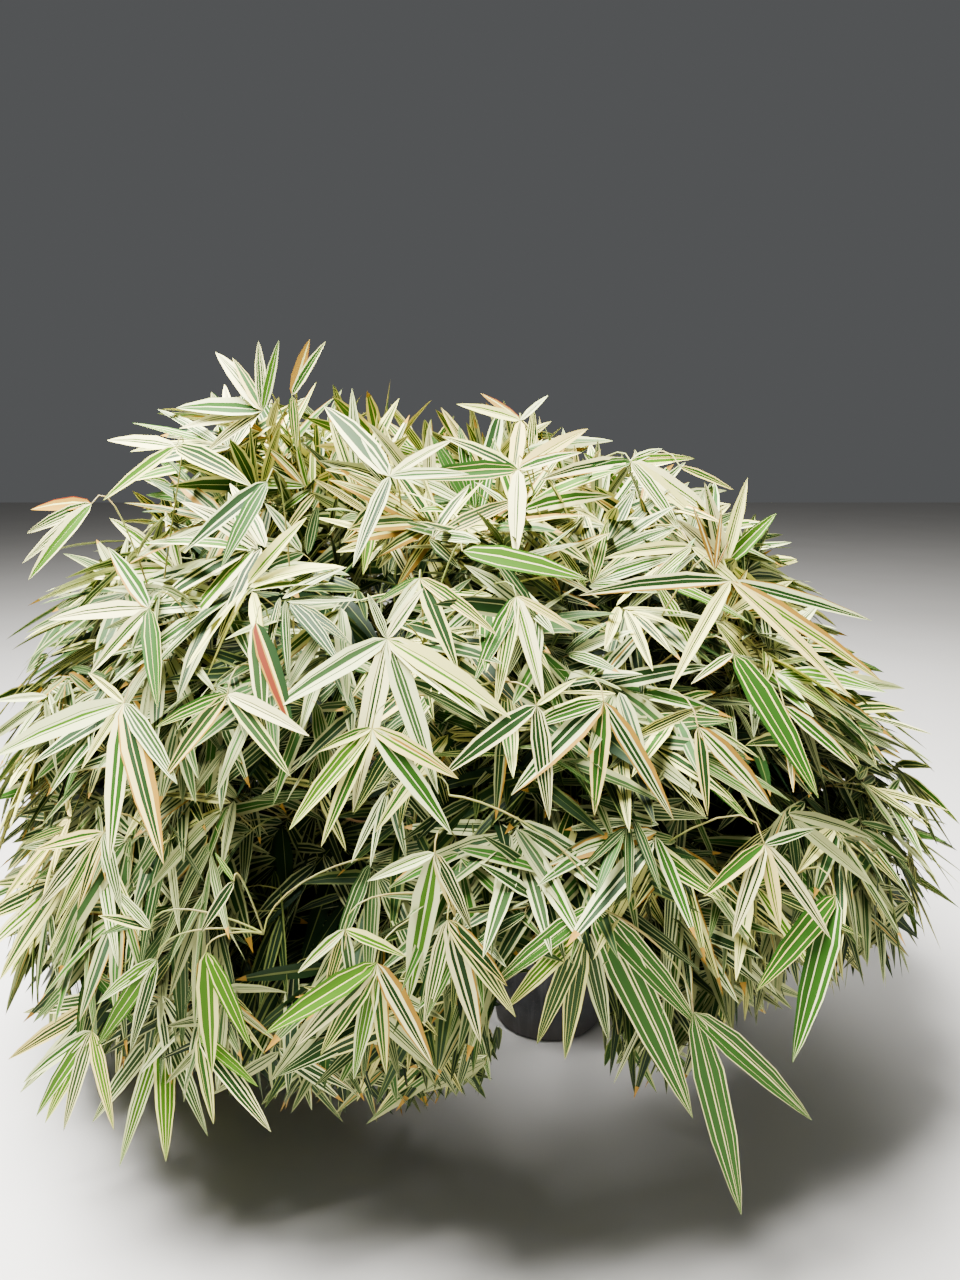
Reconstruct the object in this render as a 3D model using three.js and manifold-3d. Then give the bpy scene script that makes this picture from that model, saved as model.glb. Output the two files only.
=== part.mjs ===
// Potted bamboo: a clump of arching canes in a black nursery pot, with masses of long narrow leaves.
// Millimetres, +Z up. The origin is the centre of the pot's flat underside, and the front is -Y.
import * as THREE from 'three';
import { mergeVertices } from 'three/addons/utils/BufferGeometryUtils.js';
import Module from 'manifold-3d';

const wasm = await Module();
wasm.setup();

// Space kept between pieces that touch, round a cane's six-sided joint, and between masses
const SEAT_GAP = 0.3;
const SLEEVE_GAP = 0.35;
const MASS_GAP = 4;
const FULL_TURN = 2 * Math.PI;
const GOLDEN_TURN = Math.PI * (3 - Math.sqrt(5));

// The pot, with its soil
const POT = {
  height: 300,
  baseRadius: 138,
  topRadius: 150,
  cornerRadius: 10,
  wall: 3,
  floor: 5,
  rimHeight: 14,
  rimProud: 4,
  sides: 28,
};
const SOIL = { top: 262, crownFall: 8, flatShare: 0.86 };

// The crown's limits: an egg-shaped space round a waist, which on the left rises and drops further.
// Leaf tips reach a little past it, to the tip share.
const CROWN = {
  centreX: -220,
  waistHeight: 550,
  halfWidth: 1200,
  halfDepth: 980,
  rise: 1110,
  riseSlope: -0.2,
  drop: 450,
  dropSlope: -0.2,
  lowest: 30,
  tipShare: 1.04,
};

// Tiers of foliage masses, with angles in degrees. The centre and end are shares of the way from
// the crown's middle to its limit. A tier with a root radius stands on canes, the low one on boughs.
const TIERS = [
  { name: 'top', count: 3, climb: 67, first: 176, centre: 0.72, end: 0.82, root: 28, droop: [-90, -20] },
  { name: 'upper', count: 7, climb: 36, first: 24, centre: 0.72, end: 0.76, root: 66, droop: [-34, 48] },
  { name: 'middle', count: 8, climb: 8, first: 12, centre: 0.74, end: 0.76, root: 106, droop: [-14, 55] },
  { name: 'low', count: 8, climb: -24, first: 34, centre: 0.76, end: 0.74, root: 0, droop: [8, 60] },
];
const ENTRY_SHARE = 0.42;

// Canes that rise from the soil, and the boughs that leave the middle tier's canes
const CULM = { footRadius: 6.5, tipRadius: 3.6, sides: 6, internode: 190, ringProud: 1.18, ringHalf: 5 };
const CULM_PATH = { straightShare: 0.62, leanShare: 0.1, bendShare: 0.3 };
const BOUGH = { footRadius: 3.4, tipRadius: 2.6, sides: 5, steps: 4, leaveAt: 0.62, bendShare: 0.35 };

// Foliage: one stem in each mass, with twigs round it and a fan of leaves at each twig's end
const STEM = { footRadius: 2.6, tipRadius: 1.9, sides: 3, fallShare: 0.12, firstTwig: 0.25, lastTwig: 0.85 };
const TWIG = {
  count: 3,
  length: 160,
  shortest: 0.6,
  footRadius: 2.1,
  tipRadius: 1.5,
  sides: 3,
  spread: 58,
  stray: [12, 40],
  tries: 10,
};
const LEAF = {
  length: 335,
  shortest: 0.7,
  widthShare: 0.175,
  thickShare: 0.0115,
  widestAt: 0.36,
  sagShare: 0.14,
  perMass: 14,
  rootSpacing: 7,
  apart: 24,
  fanSpread: 95,
  stray: 12,
  roll: 38,
  tries: 30,
  samples: 12,
  bunched: 2,
  clearance: 2.5,
};

// The gap in the foliage, low at the front, through which the pot shows
const POT_VIEW = { halfWidth: 100, height: 200, climb: 0.6, drift: 0.083 };
const POT_CLEARANCE = 16;

// How closely a leaf or twig is tested against the limbs, and how a fused mass is tested and regrown
const SPOT_SPACING = 10;
const SOUND = { mergeDistance: 1e-3, decimals: 4, tries: 12, seedStep: 101 };

const UP = new THREE.Vector3(0, 0, 1);

const MATERIALS = {
  pot: { color: 0x2b2b2c, roughness: 0.72, metalness: 0 },
  soil: { color: 0x3b2a1e, roughness: 0.95, metalness: 0 },
  culm: { color: 0x8a8f4a, roughness: 0.55, metalness: 0 },
  bough: { color: 0xa5964f, roughness: 0.6, metalness: 0 },
  foliage: { color: 0xcfd6ae, roughness: 0.5, metalness: 0 },
};

function radians(degrees) {
  return THREE.MathUtils.degToRad(degrees);
}

function seededRandom(seed) {
  const multiplier = 1664525;
  const increment = 1013904223;
  const modulus = 4294967296;
  let state = seed;
  return () => {
    state = (state * multiplier + increment) % modulus;
    return state / modulus;
  };
}

function between(random, low, high) {
  return low + (high - low) * random();
}

// How far the crown's limit lies above or below its waist, at a place along x from its middle
function heightLimit(x, above) {
  return above ? CROWN.rise + CROWN.riseSlope * x : CROWN.drop + CROWN.dropSlope * x;
}

// A point at a share of the way from the crown's middle to its limit, at a heading and a climb
function crownPoint(heading, climb, share) {
  const across = Math.cos(climb) * share;
  const x = across * Math.cos(heading) * CROWN.halfWidth;
  const y = across * Math.sin(heading) * CROWN.halfDepth;
  const height = Math.sin(climb) * share * heightLimit(x, climb > 0);
  return new THREE.Vector3(CROWN.centreX + x, y, CROWN.waistHeight + height);
}

// How far out a point lies: 1 on the crown's limit
function crownShare(point) {
  const x = point.x - CROWN.centreX;
  const height = point.z - CROWN.waistHeight;
  const vertical = height / heightLimit(x, height > 0);
  return Math.hypot(x / CROWN.halfWidth, point.y / CROWN.halfDepth, vertical);
}

function layOutMasses() {
  const masses = [];
  for (const tier of TIERS) {
    const climb = radians(tier.climb);
    for (let place = 0; place < tier.count; place += 1) {
      const heading = radians(tier.first) + (place * FULL_TURN) / tier.count;
      masses.push({
        tier,
        heading,
        label: `${tier.name}_${place + 1}`,
        seed: masses.length + 1,
        entry: crownPoint(heading, climb, ENTRY_SHARE),
        centre: crownPoint(heading, climb, tier.centre),
        end: crownPoint(heading, climb, tier.end),
      });
    }
  }
  return masses;
}

// The planes that part a mass from its neighbours: a point is inside while it is behind them all
function cellPlanes(mass, masses) {
  return masses
    .filter((other) => other !== mass)
    .map((other) => {
      const normal = other.centre.clone().sub(mass.centre).normalize();
      const middle = other.centre.clone().add(mass.centre).multiplyScalar(0.5);
      return { normal, limit: normal.dot(middle) - MASS_GAP / 2 };
    });
}

function inCell(point, planes) {
  return planes.every(({ normal, limit }) => normal.dot(point) < limit);
}

// A round bar of varying radius along a curve. Stations give a place along it and the radius there.
function barAlong(curve, stations, sides, flatFoot = false) {
  const bar = new THREE.CylinderGeometry(1, 1, 1, sides, stations.length - 1);
  const position = bar.getAttribute('position');
  const chord = curve.getPointAt(1).sub(curve.getPointAt(0));
  const across = new THREE.Vector3().crossVectors(chord, UP).normalize();
  for (let index = 0; index < position.count; index += 1) {
    const step = Math.round((position.getY(index) + 0.5) * (stations.length - 1));
    const { place, radius } = stations[step];
    const forward = place === 0 && flatFoot ? UP : curve.getTangentAt(place);
    const outward = new THREE.Vector3().crossVectors(forward, across).normalize();
    const sideways = new THREE.Vector3().crossVectors(outward, forward);
    const point = curve.getPointAt(place);
    point.addScaledVector(sideways, position.getZ(index) * radius);
    point.addScaledVector(outward, position.getX(index) * radius);
    position.setXYZ(index, point.x, point.y, point.z);
  }
  return bar;
}

function evenStations(steps, footRadius, tipRadius) {
  const stations = [];
  for (let step = 0; step <= steps; step += 1) {
    const place = step / steps;
    stations.push({ place, radius: THREE.MathUtils.lerp(footRadius, tipRadius, place) });
  }
  return stations;
}

// A cane's stations: even taper, with a raised ring at each joint between its internodes
function culmStations(length) {
  const joints = Math.round(length / CULM.internode);
  const half = CULM.ringHalf / length;
  const stations = [{ place: 0, radius: CULM.footRadius }];
  for (let joint = 0; joint < joints; joint += 1) {
    const place = (joint + 0.5) / joints;
    const radius = THREE.MathUtils.lerp(CULM.footRadius, CULM.tipRadius, place);
    stations.push({ place: place - half, radius });
    stations.push({ place, radius: radius * CULM.ringProud, ring: true });
    stations.push({ place: place + half, radius });
  }
  stations.push({ place: 1, radius: CULM.tipRadius });
  return stations;
}

// A cane stands up from its root, leans out and bends over to the mass that it carries
function culmCurve(mass) {
  const outward = new THREE.Vector3(Math.cos(mass.heading), Math.sin(mass.heading), 0);
  const root = outward.clone().multiplyScalar(mass.tier.root);
  root.z = SOIL.top + SEAT_GAP;
  const rise = mass.entry.z - root.z;
  const span = mass.entry.distanceTo(root);
  const arrival = mass.centre.clone().sub(mass.entry).normalize();
  const straight = root.clone().addScaledVector(UP, rise * CULM_PATH.straightShare);
  straight.addScaledVector(outward, span * CULM_PATH.leanShare);
  const bend = mass.entry.clone().addScaledVector(arrival, -span * CULM_PATH.bendShare);
  return new THREE.CubicBezierCurve3(root, straight, bend, mass.entry);
}

function nearestHeading(mass, limbs) {
  const apart = (limb) => Math.cos(limb.mass.heading - mass.heading);
  return limbs.reduce((best, limb) => (apart(limb) > apart(best) ? limb : best));
}

// The raised ring of a cane that lies nearest to a share of its length
function jointNearest(culm, share) {
  const rings = culm.stations.filter((station) => station.ring);
  const apart = (ring) => Math.abs(ring.place - share);
  return rings.reduce((best, ring) => (apart(ring) < apart(best) ? ring : best));
}

// A bough leaves a cane at one of its joints, and bends down and outwards to its mass
function boughCurve(mass, culm) {
  const fork = culm.curve.getPointAt(jointNearest(culm, BOUGH.leaveAt).place);
  const leaving = mass.entry.clone().sub(fork).normalize();
  const arrival = mass.centre.clone().sub(mass.entry).normalize();
  const span = mass.entry.distanceTo(fork);
  const early = fork.clone().addScaledVector(leaving, span * BOUGH.bendShare);
  const late = mass.entry.clone().addScaledVector(arrival, -span * BOUGH.bendShare);
  return new THREE.CubicBezierCurve3(fork, early, late, mass.entry);
}

// A bough's foot is cut to fit round its cane's joint, clear of it
function boughGeometry({ curve, stations, culm }) {
  const around = culm.stations.map(({ place, radius }) => ({ place, radius: radius + SLEEVE_GAP }));
  const sleeve = barAlong(culm.curve, around, CULM.sides, true);
  return outerShell(solidOf(barAlong(curve, stations, BOUGH.sides)).subtract(solidOf(sleeve)));
}

function layOutLimbs(masses) {
  const culms = masses.filter((mass) => mass.tier.root > 0).map((mass) => {
    const curve = culmCurve(mass);
    return { name: `culm_${mass.label}`, mass, curve, stations: culmStations(curve.getLength()) };
  });
  const carriers = culms.filter((culm) => culm.mass.tier.name === 'middle');
  const boughs = masses.filter((mass) => mass.tier.root === 0).map((mass) => {
    const culm = nearestHeading(mass, carriers);
    const stations = evenStations(BOUGH.steps, BOUGH.footRadius, BOUGH.tipRadius);
    return { name: `bough_${mass.label}`, mass, curve: boughCurve(mass, culm), stations, culm };
  });
  return { culms, boughs };
}

function spotsBetween(start, end) {
  const steps = Math.ceil(start.distanceTo(end) / SPOT_SPACING);
  return Array.from({ length: steps + 1 }, (_, step) => start.clone().lerp(end, step / steps));
}

// Spots along the straight lengths of the limbs, close enough together to test a leaf against
function limbSpots(limbs) {
  return limbs.flatMap(({ curve, stations }) => stations.slice(1).flatMap((station, index) => {
    const start = curve.getPointAt(stations[index].place);
    const end = curve.getPointAt(station.place);
    const radius = Math.max(station.radius, stations[index].radius);
    return spotsBetween(start, end).map((point) => ({ point, radius }));
  }));
}

function inPotView(point) {
  const ahead = -point.y - POT.baseRadius;
  const middle = -POT_VIEW.drift * ahead;
  const ceiling = POT_VIEW.height + POT_VIEW.climb * ahead;
  return ahead > 0 && point.z < ceiling && Math.abs(point.x - middle) < POT_VIEW.halfWidth;
}

function nearPot(point) {
  const reach = POT.topRadius + POT.rimProud + POT_CLEARANCE;
  return point.z < POT.height + POT_CLEARANCE && Math.hypot(point.x, point.y) < reach;
}

function fitsSpace(corners, planes) {
  return corners.every(
    (corner) => corner.z > CROWN.lowest && crownShare(corner) < CROWN.tipShare && inCell(corner, planes));
}

function isClear(middles, halfWidth, spots) {
  return middles.every((middle) => !inPotView(middle) && !nearPot(middle)
    && spots.every(({ point, radius }) =>
      middle.distanceTo(point) > halfWidth + radius + LEAF.clearance));
}

// Leaves are bunched at their roots and then spread, so that none runs through another
function isApart(middles, leaves) {
  return middles.slice(LEAF.bunched).every(
    (middle) => leaves.every((other) => middle.distanceTo(other) > LEAF.apart));
}

// The corners of a leaf: an eight-faced blade, widest a third of the way along, that sags to its tip
function leafCorners(root, forward, side, length) {
  const flat = new THREE.Vector3().crossVectors(side, forward).normalize();
  const widest = root.clone().addScaledVector(forward, length * LEAF.widestAt);
  const tip = root.clone().addScaledVector(forward, length);
  tip.addScaledVector(UP, -length * LEAF.sagShare);
  const halfWidth = (length * LEAF.widthShare) / 2;
  const halfThick = (length * LEAF.thickShare) / 2;
  return {
    root,
    tip,
    left: widest.clone().addScaledVector(side, -halfWidth),
    right: widest.clone().addScaledVector(side, halfWidth),
    above: widest.clone().addScaledVector(flat, halfThick),
    below: widest.clone().addScaledVector(flat, -halfThick),
  };
}

function leafMiddles({ root, above, tip }) {
  return Array.from({ length: LEAF.samples }, (_, step) => {
    const place = (step + 1) / LEAF.samples;
    if (place < LEAF.widestAt) {
      return root.clone().lerp(above, place / LEAF.widestAt);
    }
    return above.clone().lerp(tip, (place - LEAF.widestAt) / (1 - LEAF.widestAt));
  });
}

function leafGeometry(corners) {
  const leaf = new THREE.OctahedronGeometry(1, 0);
  const position = leaf.getAttribute('position');
  const places = [
    [0, corners.tip, corners.root],
    [1, corners.left, corners.right],
    [2, corners.above, corners.below],
  ];
  for (let index = 0; index < position.count; index += 1) {
    const [part, ahead, behind] = places.find(([axis]) => position.getComponent(index, axis) !== 0);
    const corner = position.getComponent(index, part) > 0 ? ahead : behind;
    position.setXYZ(index, corner.x, corner.y, corner.z);
  }
  return leaf;
}

// The turn of a leaf in its fan: the first ones lie ahead and the later ones to either side
function fanSlot(row, rows) {
  const side = row % 2 === 0 ? 1 : -1;
  return (side * radians(LEAF.fanSpread) * (row + 0.5)) / rows;
}

// Tries headings, droops and lengths until a leaf fits its mass's space and is clear of the limbs.
// A reaching leaf takes the one that comes nearest to the crown's limit.
function growLeaf(root, heading, mass, place, random, reaching) {
  let best = null;
  for (let attempt = 0; attempt < LEAF.tries; attempt += 1) {
    const stray = LEAF.stray + (attempt / LEAF.tries) * LEAF.fanSpread;
    const turn = heading + radians(between(random, -stray, stray));
    const droop = radians(between(random, ...mass.tier.droop));
    const forward = new THREE.Vector3(Math.cos(turn), Math.sin(turn), 0);
    forward.multiplyScalar(Math.cos(droop)).addScaledVector(UP, -Math.sin(droop));
    const side = new THREE.Vector3().crossVectors(forward, UP).normalize();
    side.applyAxisAngle(forward, radians(between(random, -LEAF.roll, LEAF.roll)));
    const length = LEAF.length * between(random, LEAF.shortest, 1);
    const corners = leafCorners(root, forward, side, length);
    const halfWidth = (length * LEAF.widthShare) / 2;
    const middles = leafMiddles(corners);
    if (fitsSpace(Object.values(corners), place.planes)
      && isClear(middles, halfWidth, place.spots)
      && isApart(middles, place.leaves)) {
      const reach = crownShare(corners.tip);
      best = best && best.reach > reach ? best : { reach, corners, middles };
      if (!reaching) {
        break;
      }
    }
  }
  if (!best) {
    return null;
  }
  place.leaves.push(...best.middles.slice(LEAF.bunched));
  return leafGeometry(best.corners);
}

// A straight twig from a point on the stem, turned about it, or nothing where none fits
function growTwig(start, forward, turn, place, random) {
  const across = new THREE.Vector3().crossVectors(forward, UP).normalize();
  for (let attempt = 0; attempt < TWIG.tries; attempt += 1) {
    const direction = forward.clone().applyAxisAngle(across, radians(TWIG.spread));
    direction.applyAxisAngle(forward, turn + attempt * radians(between(random, ...TWIG.stray)));
    const length = TWIG.length * between(random, TWIG.shortest, 1);
    const end = start.clone().addScaledVector(direction, length);
    const middles = spotsBetween(start, end).slice(1);
    if (fitsSpace([end], place.planes) && isClear(middles, TWIG.footRadius, place.spots)) {
      return new THREE.LineCurve3(start, end);
    }
  }
  return null;
}

// Where the twigs leave the stem, as shares of its length
function forkPlaces() {
  return Array.from({ length: TWIG.count }, (_, twig) =>
    THREE.MathUtils.lerp(STEM.firstTwig, STEM.lastTwig, twig / (TWIG.count - 1)));
}

function stemCurve(mass) {
  const forward = mass.centre.clone().sub(mass.entry).normalize();
  const foot = mass.entry.clone().addScaledVector(forward, SEAT_GAP);
  const end = mass.end.clone();
  end.z -= foot.distanceTo(mass.end) * STEM.fallShare;
  return new THREE.QuadraticBezierCurve3(foot, mass.centre, end);
}

// The first seed whose fused mass is sound
function growSoundMass(mass, masses, spots) {
  for (let attempt = 0; attempt < SOUND.tries; attempt += 1) {
    const geometry = growMass(mass, masses, spots, mass.seed + attempt * SOUND.seedStep);
    if (isSound(geometry)) {
      return geometry;
    }
  }
  throw new Error(`no sound mass for ${mass.label}`);
}

// One mass: its stem, the twigs round it, and a fan of leaves at the end of each
function growMass(mass, masses, spots, seed) {
  const random = seededRandom(seed);
  const place = { planes: cellPlanes(mass, masses), spots, leaves: [] };
  const stem = stemCurve(mass);
  const forks = forkPlaces();
  const stations = [0, ...forks, 1].map((along) => (
    { place: along, radius: THREE.MathUtils.lerp(STEM.footRadius, STEM.tipRadius, along) }));
  const pieces = [barAlong(stem, stations, STEM.sides)];
  const lastLength = stem.getPointAt(1).sub(stem.getPointAt(STEM.lastTwig)).normalize();
  const fans = [{ end: stem.getPointAt(1), direction: lastLength, heading: mass.heading }];
  forks.forEach((along, twig) => {
    const start = stem.getPointAt(along);
    const branch = growTwig(start, stem.getTangentAt(along), twig * GOLDEN_TURN, place, random);
    if (branch) {
      const direction = branch.getTangentAt(0);
      const ahead = new THREE.Vector3(Math.cos(mass.heading), Math.sin(mass.heading), 0).add(direction);
      pieces.push(barAlong(branch, evenStations(1, TWIG.footRadius, TWIG.tipRadius), TWIG.sides));
      fans.push({ end: branch.v2, direction, heading: Math.atan2(ahead.y, ahead.x) });
    }
  });
  for (let leaf = 0; leaf < LEAF.perMass; leaf += 1) {
    const { end, direction, heading } = fans[leaf % fans.length];
    const row = Math.floor(leaf / fans.length);
    const root = end.clone().addScaledVector(direction, -LEAF.rootSpacing * (row + 0.5));
    const slot = fanSlot(row, Math.ceil(LEAF.perMass / fans.length));
    const blade = growLeaf(root, heading + slot, mass, place, random, row === 0);
    if (blade) {
      pieces.push(blade);
    }
  }
  return outerShell(pieces.map(solidOf).reduce((whole, piece) => whole.add(piece)));
}

function bareGeometry(geometry) {
  const bare = geometry.clone();
  bare.deleteAttribute('normal');
  bare.deleteAttribute('uv');
  return bare;
}

function solidOf(geometry) {
  const merged = mergeVertices(bareGeometry(geometry), SOUND.mergeDistance);
  const vertProperties = new Float32Array(merged.getAttribute('position').array);
  const triVerts = new Uint32Array(merged.getIndex().array);
  return new wasm.Manifold(new wasm.Mesh({ numProp: 3, vertProperties, triVerts }));
}

// The largest closed shell of a fused solid: a sealed hollow is filled and a loose scrap is dropped
function outerShell(solid) {
  const { vertProperties, triVerts } = solid.getMesh();
  const parent = Array.from({ length: vertProperties.length / 3 }, (_, index) => index);
  const find = (index) => {
    let top = index;
    while (parent[top] !== top) {
      parent[top] = parent[parent[top]];
      top = parent[top];
    }
    return top;
  };
  for (let corner = 0; corner < triVerts.length; corner += 3) {
    parent[find(triVerts[corner + 1])] = find(triVerts[corner]);
    parent[find(triVerts[corner + 2])] = find(triVerts[corner]);
  }
  const shells = new Map();
  for (let corner = 0; corner < triVerts.length; corner += 3) {
    const top = find(triVerts[corner]);
    const shell = shells.get(top) ?? [];
    shell.push(...triVerts.slice(corner, corner + 3));
    shells.set(top, shell);
  }
  const largest = [...shells.values()].reduce((best, shell) =>
    (shell.length > best.length ? shell : best));
  const geometry = new THREE.BufferGeometry();
  geometry.setAttribute('position', new THREE.BufferAttribute(new Float32Array(vertProperties), 3));
  geometry.setIndex(largest);
  const loose = geometry.toNonIndexed();
  loose.computeVertexNormals();
  return loose;
}

// Whether every edge still joins two faces once corners that all but coincide are taken as one
function isSound(geometry) {
  const merged = mergeVertices(bareGeometry(geometry), SOUND.mergeDistance);
  const position = merged.toNonIndexed().getAttribute('position');
  const keyAt = (index) => [0, 1, 2]
    .map((part) => position.getComponent(index, part).toFixed(SOUND.decimals)).join();
  const edges = new Map();
  for (let first = 0; first < position.count; first += 3) {
    const keys = [keyAt(first), keyAt(first + 1), keyAt(first + 2)];
    if (new Set(keys).size === keys.length) {
      keys.forEach((key, corner) => {
        const edge = [key, keys[(corner + 1) % keys.length]].join(' ');
        edges.set(edge, (edges.get(edge) ?? 0) + 1);
      });
    }
  }
  const turnedBack = (edge) => edge.split(' ').reverse().join(' ');
  return [...edges].every(([edge, uses]) => uses === 1 && edges.get(turnedBack(edge)) === 1);
}

function turned(profile, sides) {
  const points = profile.map(([radius, height]) => new THREE.Vector2(radius, height));
  return new THREE.LatheGeometry(points, sides).rotateX(Math.PI / 2);
}

function wallRadius(height) {
  return THREE.MathUtils.lerp(POT.baseRadius, POT.topRadius, height / POT.height);
}

function potGeometry() {
  const corner = POT.cornerRadius;
  const rimFoot = POT.height - POT.rimHeight;
  const profile = [[0, 0], [POT.baseRadius - corner, 0]];
  for (const turn of [Math.PI / 4, Math.PI / 2]) {
    const out = POT.baseRadius - corner + corner * Math.sin(turn);
    profile.push([out, corner * (1 - Math.cos(turn))]);
  }
  profile.push([wallRadius(rimFoot), rimFoot]);
  profile.push([wallRadius(rimFoot) + POT.rimProud, rimFoot + POT.rimProud / 2]);
  profile.push([POT.topRadius + POT.rimProud, POT.height - POT.wall / 2]);
  profile.push([POT.topRadius, POT.height]);
  profile.push([POT.topRadius - POT.wall, POT.height]);
  profile.push([wallRadius(POT.floor) - POT.wall, POT.floor]);
  profile.push([0, POT.floor]);
  return turned(profile, POT.sides);
}

function soilGeometry() {
  const floor = POT.floor + SEAT_GAP;
  const inset = POT.wall + SEAT_GAP;
  const edge = SOIL.top - SOIL.crownFall;
  return turned([
    [0, floor],
    [wallRadius(floor) - inset, floor],
    [wallRadius(edge) - inset, edge],
    [POT.baseRadius * SOIL.flatShare, SOIL.top],
    [0, SOIL.top],
  ], POT.sides);
}

function addMesh(group, name, geometry, look) {
  const mesh = new THREE.Mesh(geometry, new THREE.MeshStandardMaterial(MATERIALS[look]));
  mesh.name = name;
  group.add(mesh);
}

function buildPlant() {
  const plant = new THREE.Group();
  addMesh(plant, 'pot', potGeometry(), 'pot');
  addMesh(plant, 'soil', soilGeometry(), 'soil');
  const masses = layOutMasses();
  const { culms, boughs } = layOutLimbs(masses);
  const spots = limbSpots([...culms, ...boughs]);
  for (const { name, curve, stations } of culms) {
    addMesh(plant, name, barAlong(curve, stations, CULM.sides, true), 'culm');
  }
  for (const bough of boughs) {
    addMesh(plant, bough.name, boughGeometry(bough), 'bough');
  }
  for (const mass of masses) {
    addMesh(plant, `foliage_${mass.label}`, growSoundMass(mass, masses, spots), 'foliage');
  }
  return plant;
}

export default buildPlant();
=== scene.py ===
import math

import bpy
import numpy as np
from mathutils import Matrix
from mathutils.kdtree import KDTree


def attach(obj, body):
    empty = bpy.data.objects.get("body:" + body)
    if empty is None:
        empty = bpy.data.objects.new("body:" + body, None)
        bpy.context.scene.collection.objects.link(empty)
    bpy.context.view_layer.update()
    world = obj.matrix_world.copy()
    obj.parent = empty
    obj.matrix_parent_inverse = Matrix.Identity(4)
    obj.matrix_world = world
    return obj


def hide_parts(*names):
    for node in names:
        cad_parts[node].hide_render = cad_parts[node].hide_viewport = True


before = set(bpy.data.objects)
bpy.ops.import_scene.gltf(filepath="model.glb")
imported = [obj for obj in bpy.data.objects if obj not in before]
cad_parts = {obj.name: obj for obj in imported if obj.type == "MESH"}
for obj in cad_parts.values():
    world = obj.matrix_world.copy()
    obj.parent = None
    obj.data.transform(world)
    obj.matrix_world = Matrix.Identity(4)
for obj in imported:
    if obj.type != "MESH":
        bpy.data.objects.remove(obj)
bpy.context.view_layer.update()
scene = bpy.context.scene
print(f"frame: {len(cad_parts)} CAD nodes")

up = np.array([0.0, 0.0, 1.0])
goldenTurn = math.pi * (3 - math.sqrt(5))


class Signal:
    # wraps a value's socket, so that an expression on sockets adds its Math nodes
    def __init__(self, bench, socket):
        self.bench = bench
        self.socket = socket

    def maths(self, operation, first, second):
        return self.bench.signal("ShaderNodeMath", {"operation": operation}, {0: first, 1: second})

    def __add__(self, other):
        return self.maths("ADD", self, other)

    def __sub__(self, other):
        return self.maths("SUBTRACT", self, other)

    def __rsub__(self, other):
        return self.maths("SUBTRACT", other, self)

    def __mul__(self, other):
        return self.maths("MULTIPLY", self, other)

    __radd__ = __add__


class Bench:
    # adds nodes to one tree: a type, its settings, then the values or links of its sockets
    def __init__(self, tree):
        self.tree = tree
        tree.nodes.clear()

    def node(self, kind, settings=(), sockets=()):
        made = self.tree.nodes.new(kind)
        for name, value in dict(settings).items():
            setattr(made, name, value)
        for key, value in dict(sockets).items():
            value = value.socket if isinstance(value, Signal) else value
            if isinstance(value, bpy.types.NodeSocket):
                self.tree.links.new(value, made.inputs[key])
            else:
                made.inputs[key].default_value = value
        return made

    def signal(self, kind, settings=(), sockets=(), output=0):
        return Signal(self, self.node(kind, settings, sockets).outputs[output])

    def blend(self, mask, first, second):
        # a colour between two others
        return self.signal("ShaderNodeMix", {"data_type": "RGBA"}, {0: mask, 6: first, 7: second}, 2)

    def place(self):
        # each point's place in its own piece
        return self.signal("ShaderNodeTexCoord", output="Object")

    def noise(self, scale, detail=3.0, place=None):
        sockets = {"Vector": place or self.place(), "Scale": scale, "Detail": detail, "Roughness": 0.55}
        return self.signal("ShaderNodeTexNoise", {}, sockets)

    def between(self, value, low, high):
        # 0 below low, 1 above high
        sockets = {"Value": value, "From Min": low, "From Max": high}
        return self.signal("ShaderNodeMapRange", {"clamp": True}, sockets)


def tone(red, green, blue):
    # a colour as it is seen on a screen, 0 to 255, as Blender's linear colour
    shares = [part / 255 for part in (red, green, blue)]
    linear = [part / 12.92 if part <= 0.04045 else ((part + 0.055) / 1.055) ** 2.4 for part in shares]
    return (*linear, 1.0)


def addObject(name, data):
    made = bpy.data.objects.new(name, data)
    scene.collection.objects.link(made)
    return made


def newMaterial(name, fixed):
    material = bpy.data.materials.new(name)
    material.use_nodes = True
    material.diffuse_color = fixed.get("Base Color", tone(128, 128, 128))
    bench = Bench(material.node_tree)
    shader = bench.node("ShaderNodeBsdfPrincipled", {}, fixed)
    bench.node("ShaderNodeOutputMaterial", {}, {"Surface": shader.outputs[0]})
    return material, bench, shader


def feed(bench, shader, **signals):
    for name, signal in signals.items():
        key = {"colour": "Base Color", "roughness": "Roughness"}.get(name)
        if key:
            bench.tree.links.new(signal.socket, shader.inputs[key])
        else:
            height, distance = signal
            bump = bench.node("ShaderNodeBump", {}, {"Height": height, "Distance": distance})
            bench.tree.links.new(bump.outputs[0], shader.inputs["Normal"])


# the camera stands where the photograph was taken from, and looks a little down
viewSettings = {
    "place": (-0.18, -2.30, 1.50),
    "tilt": 78.0,
    "lens": 27.0,
}


def setUpView():
    camera = bpy.data.cameras.new("photoCamera")
    camera.lens = viewSettings["lens"]
    holder = addObject("photoCamera", camera)
    holder.location = viewSettings["place"]
    holder.rotation_euler = (math.radians(viewSettings["tilt"]), 0, 0)
    scene.camera = holder


setUpView()
print("camera: set")


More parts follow.
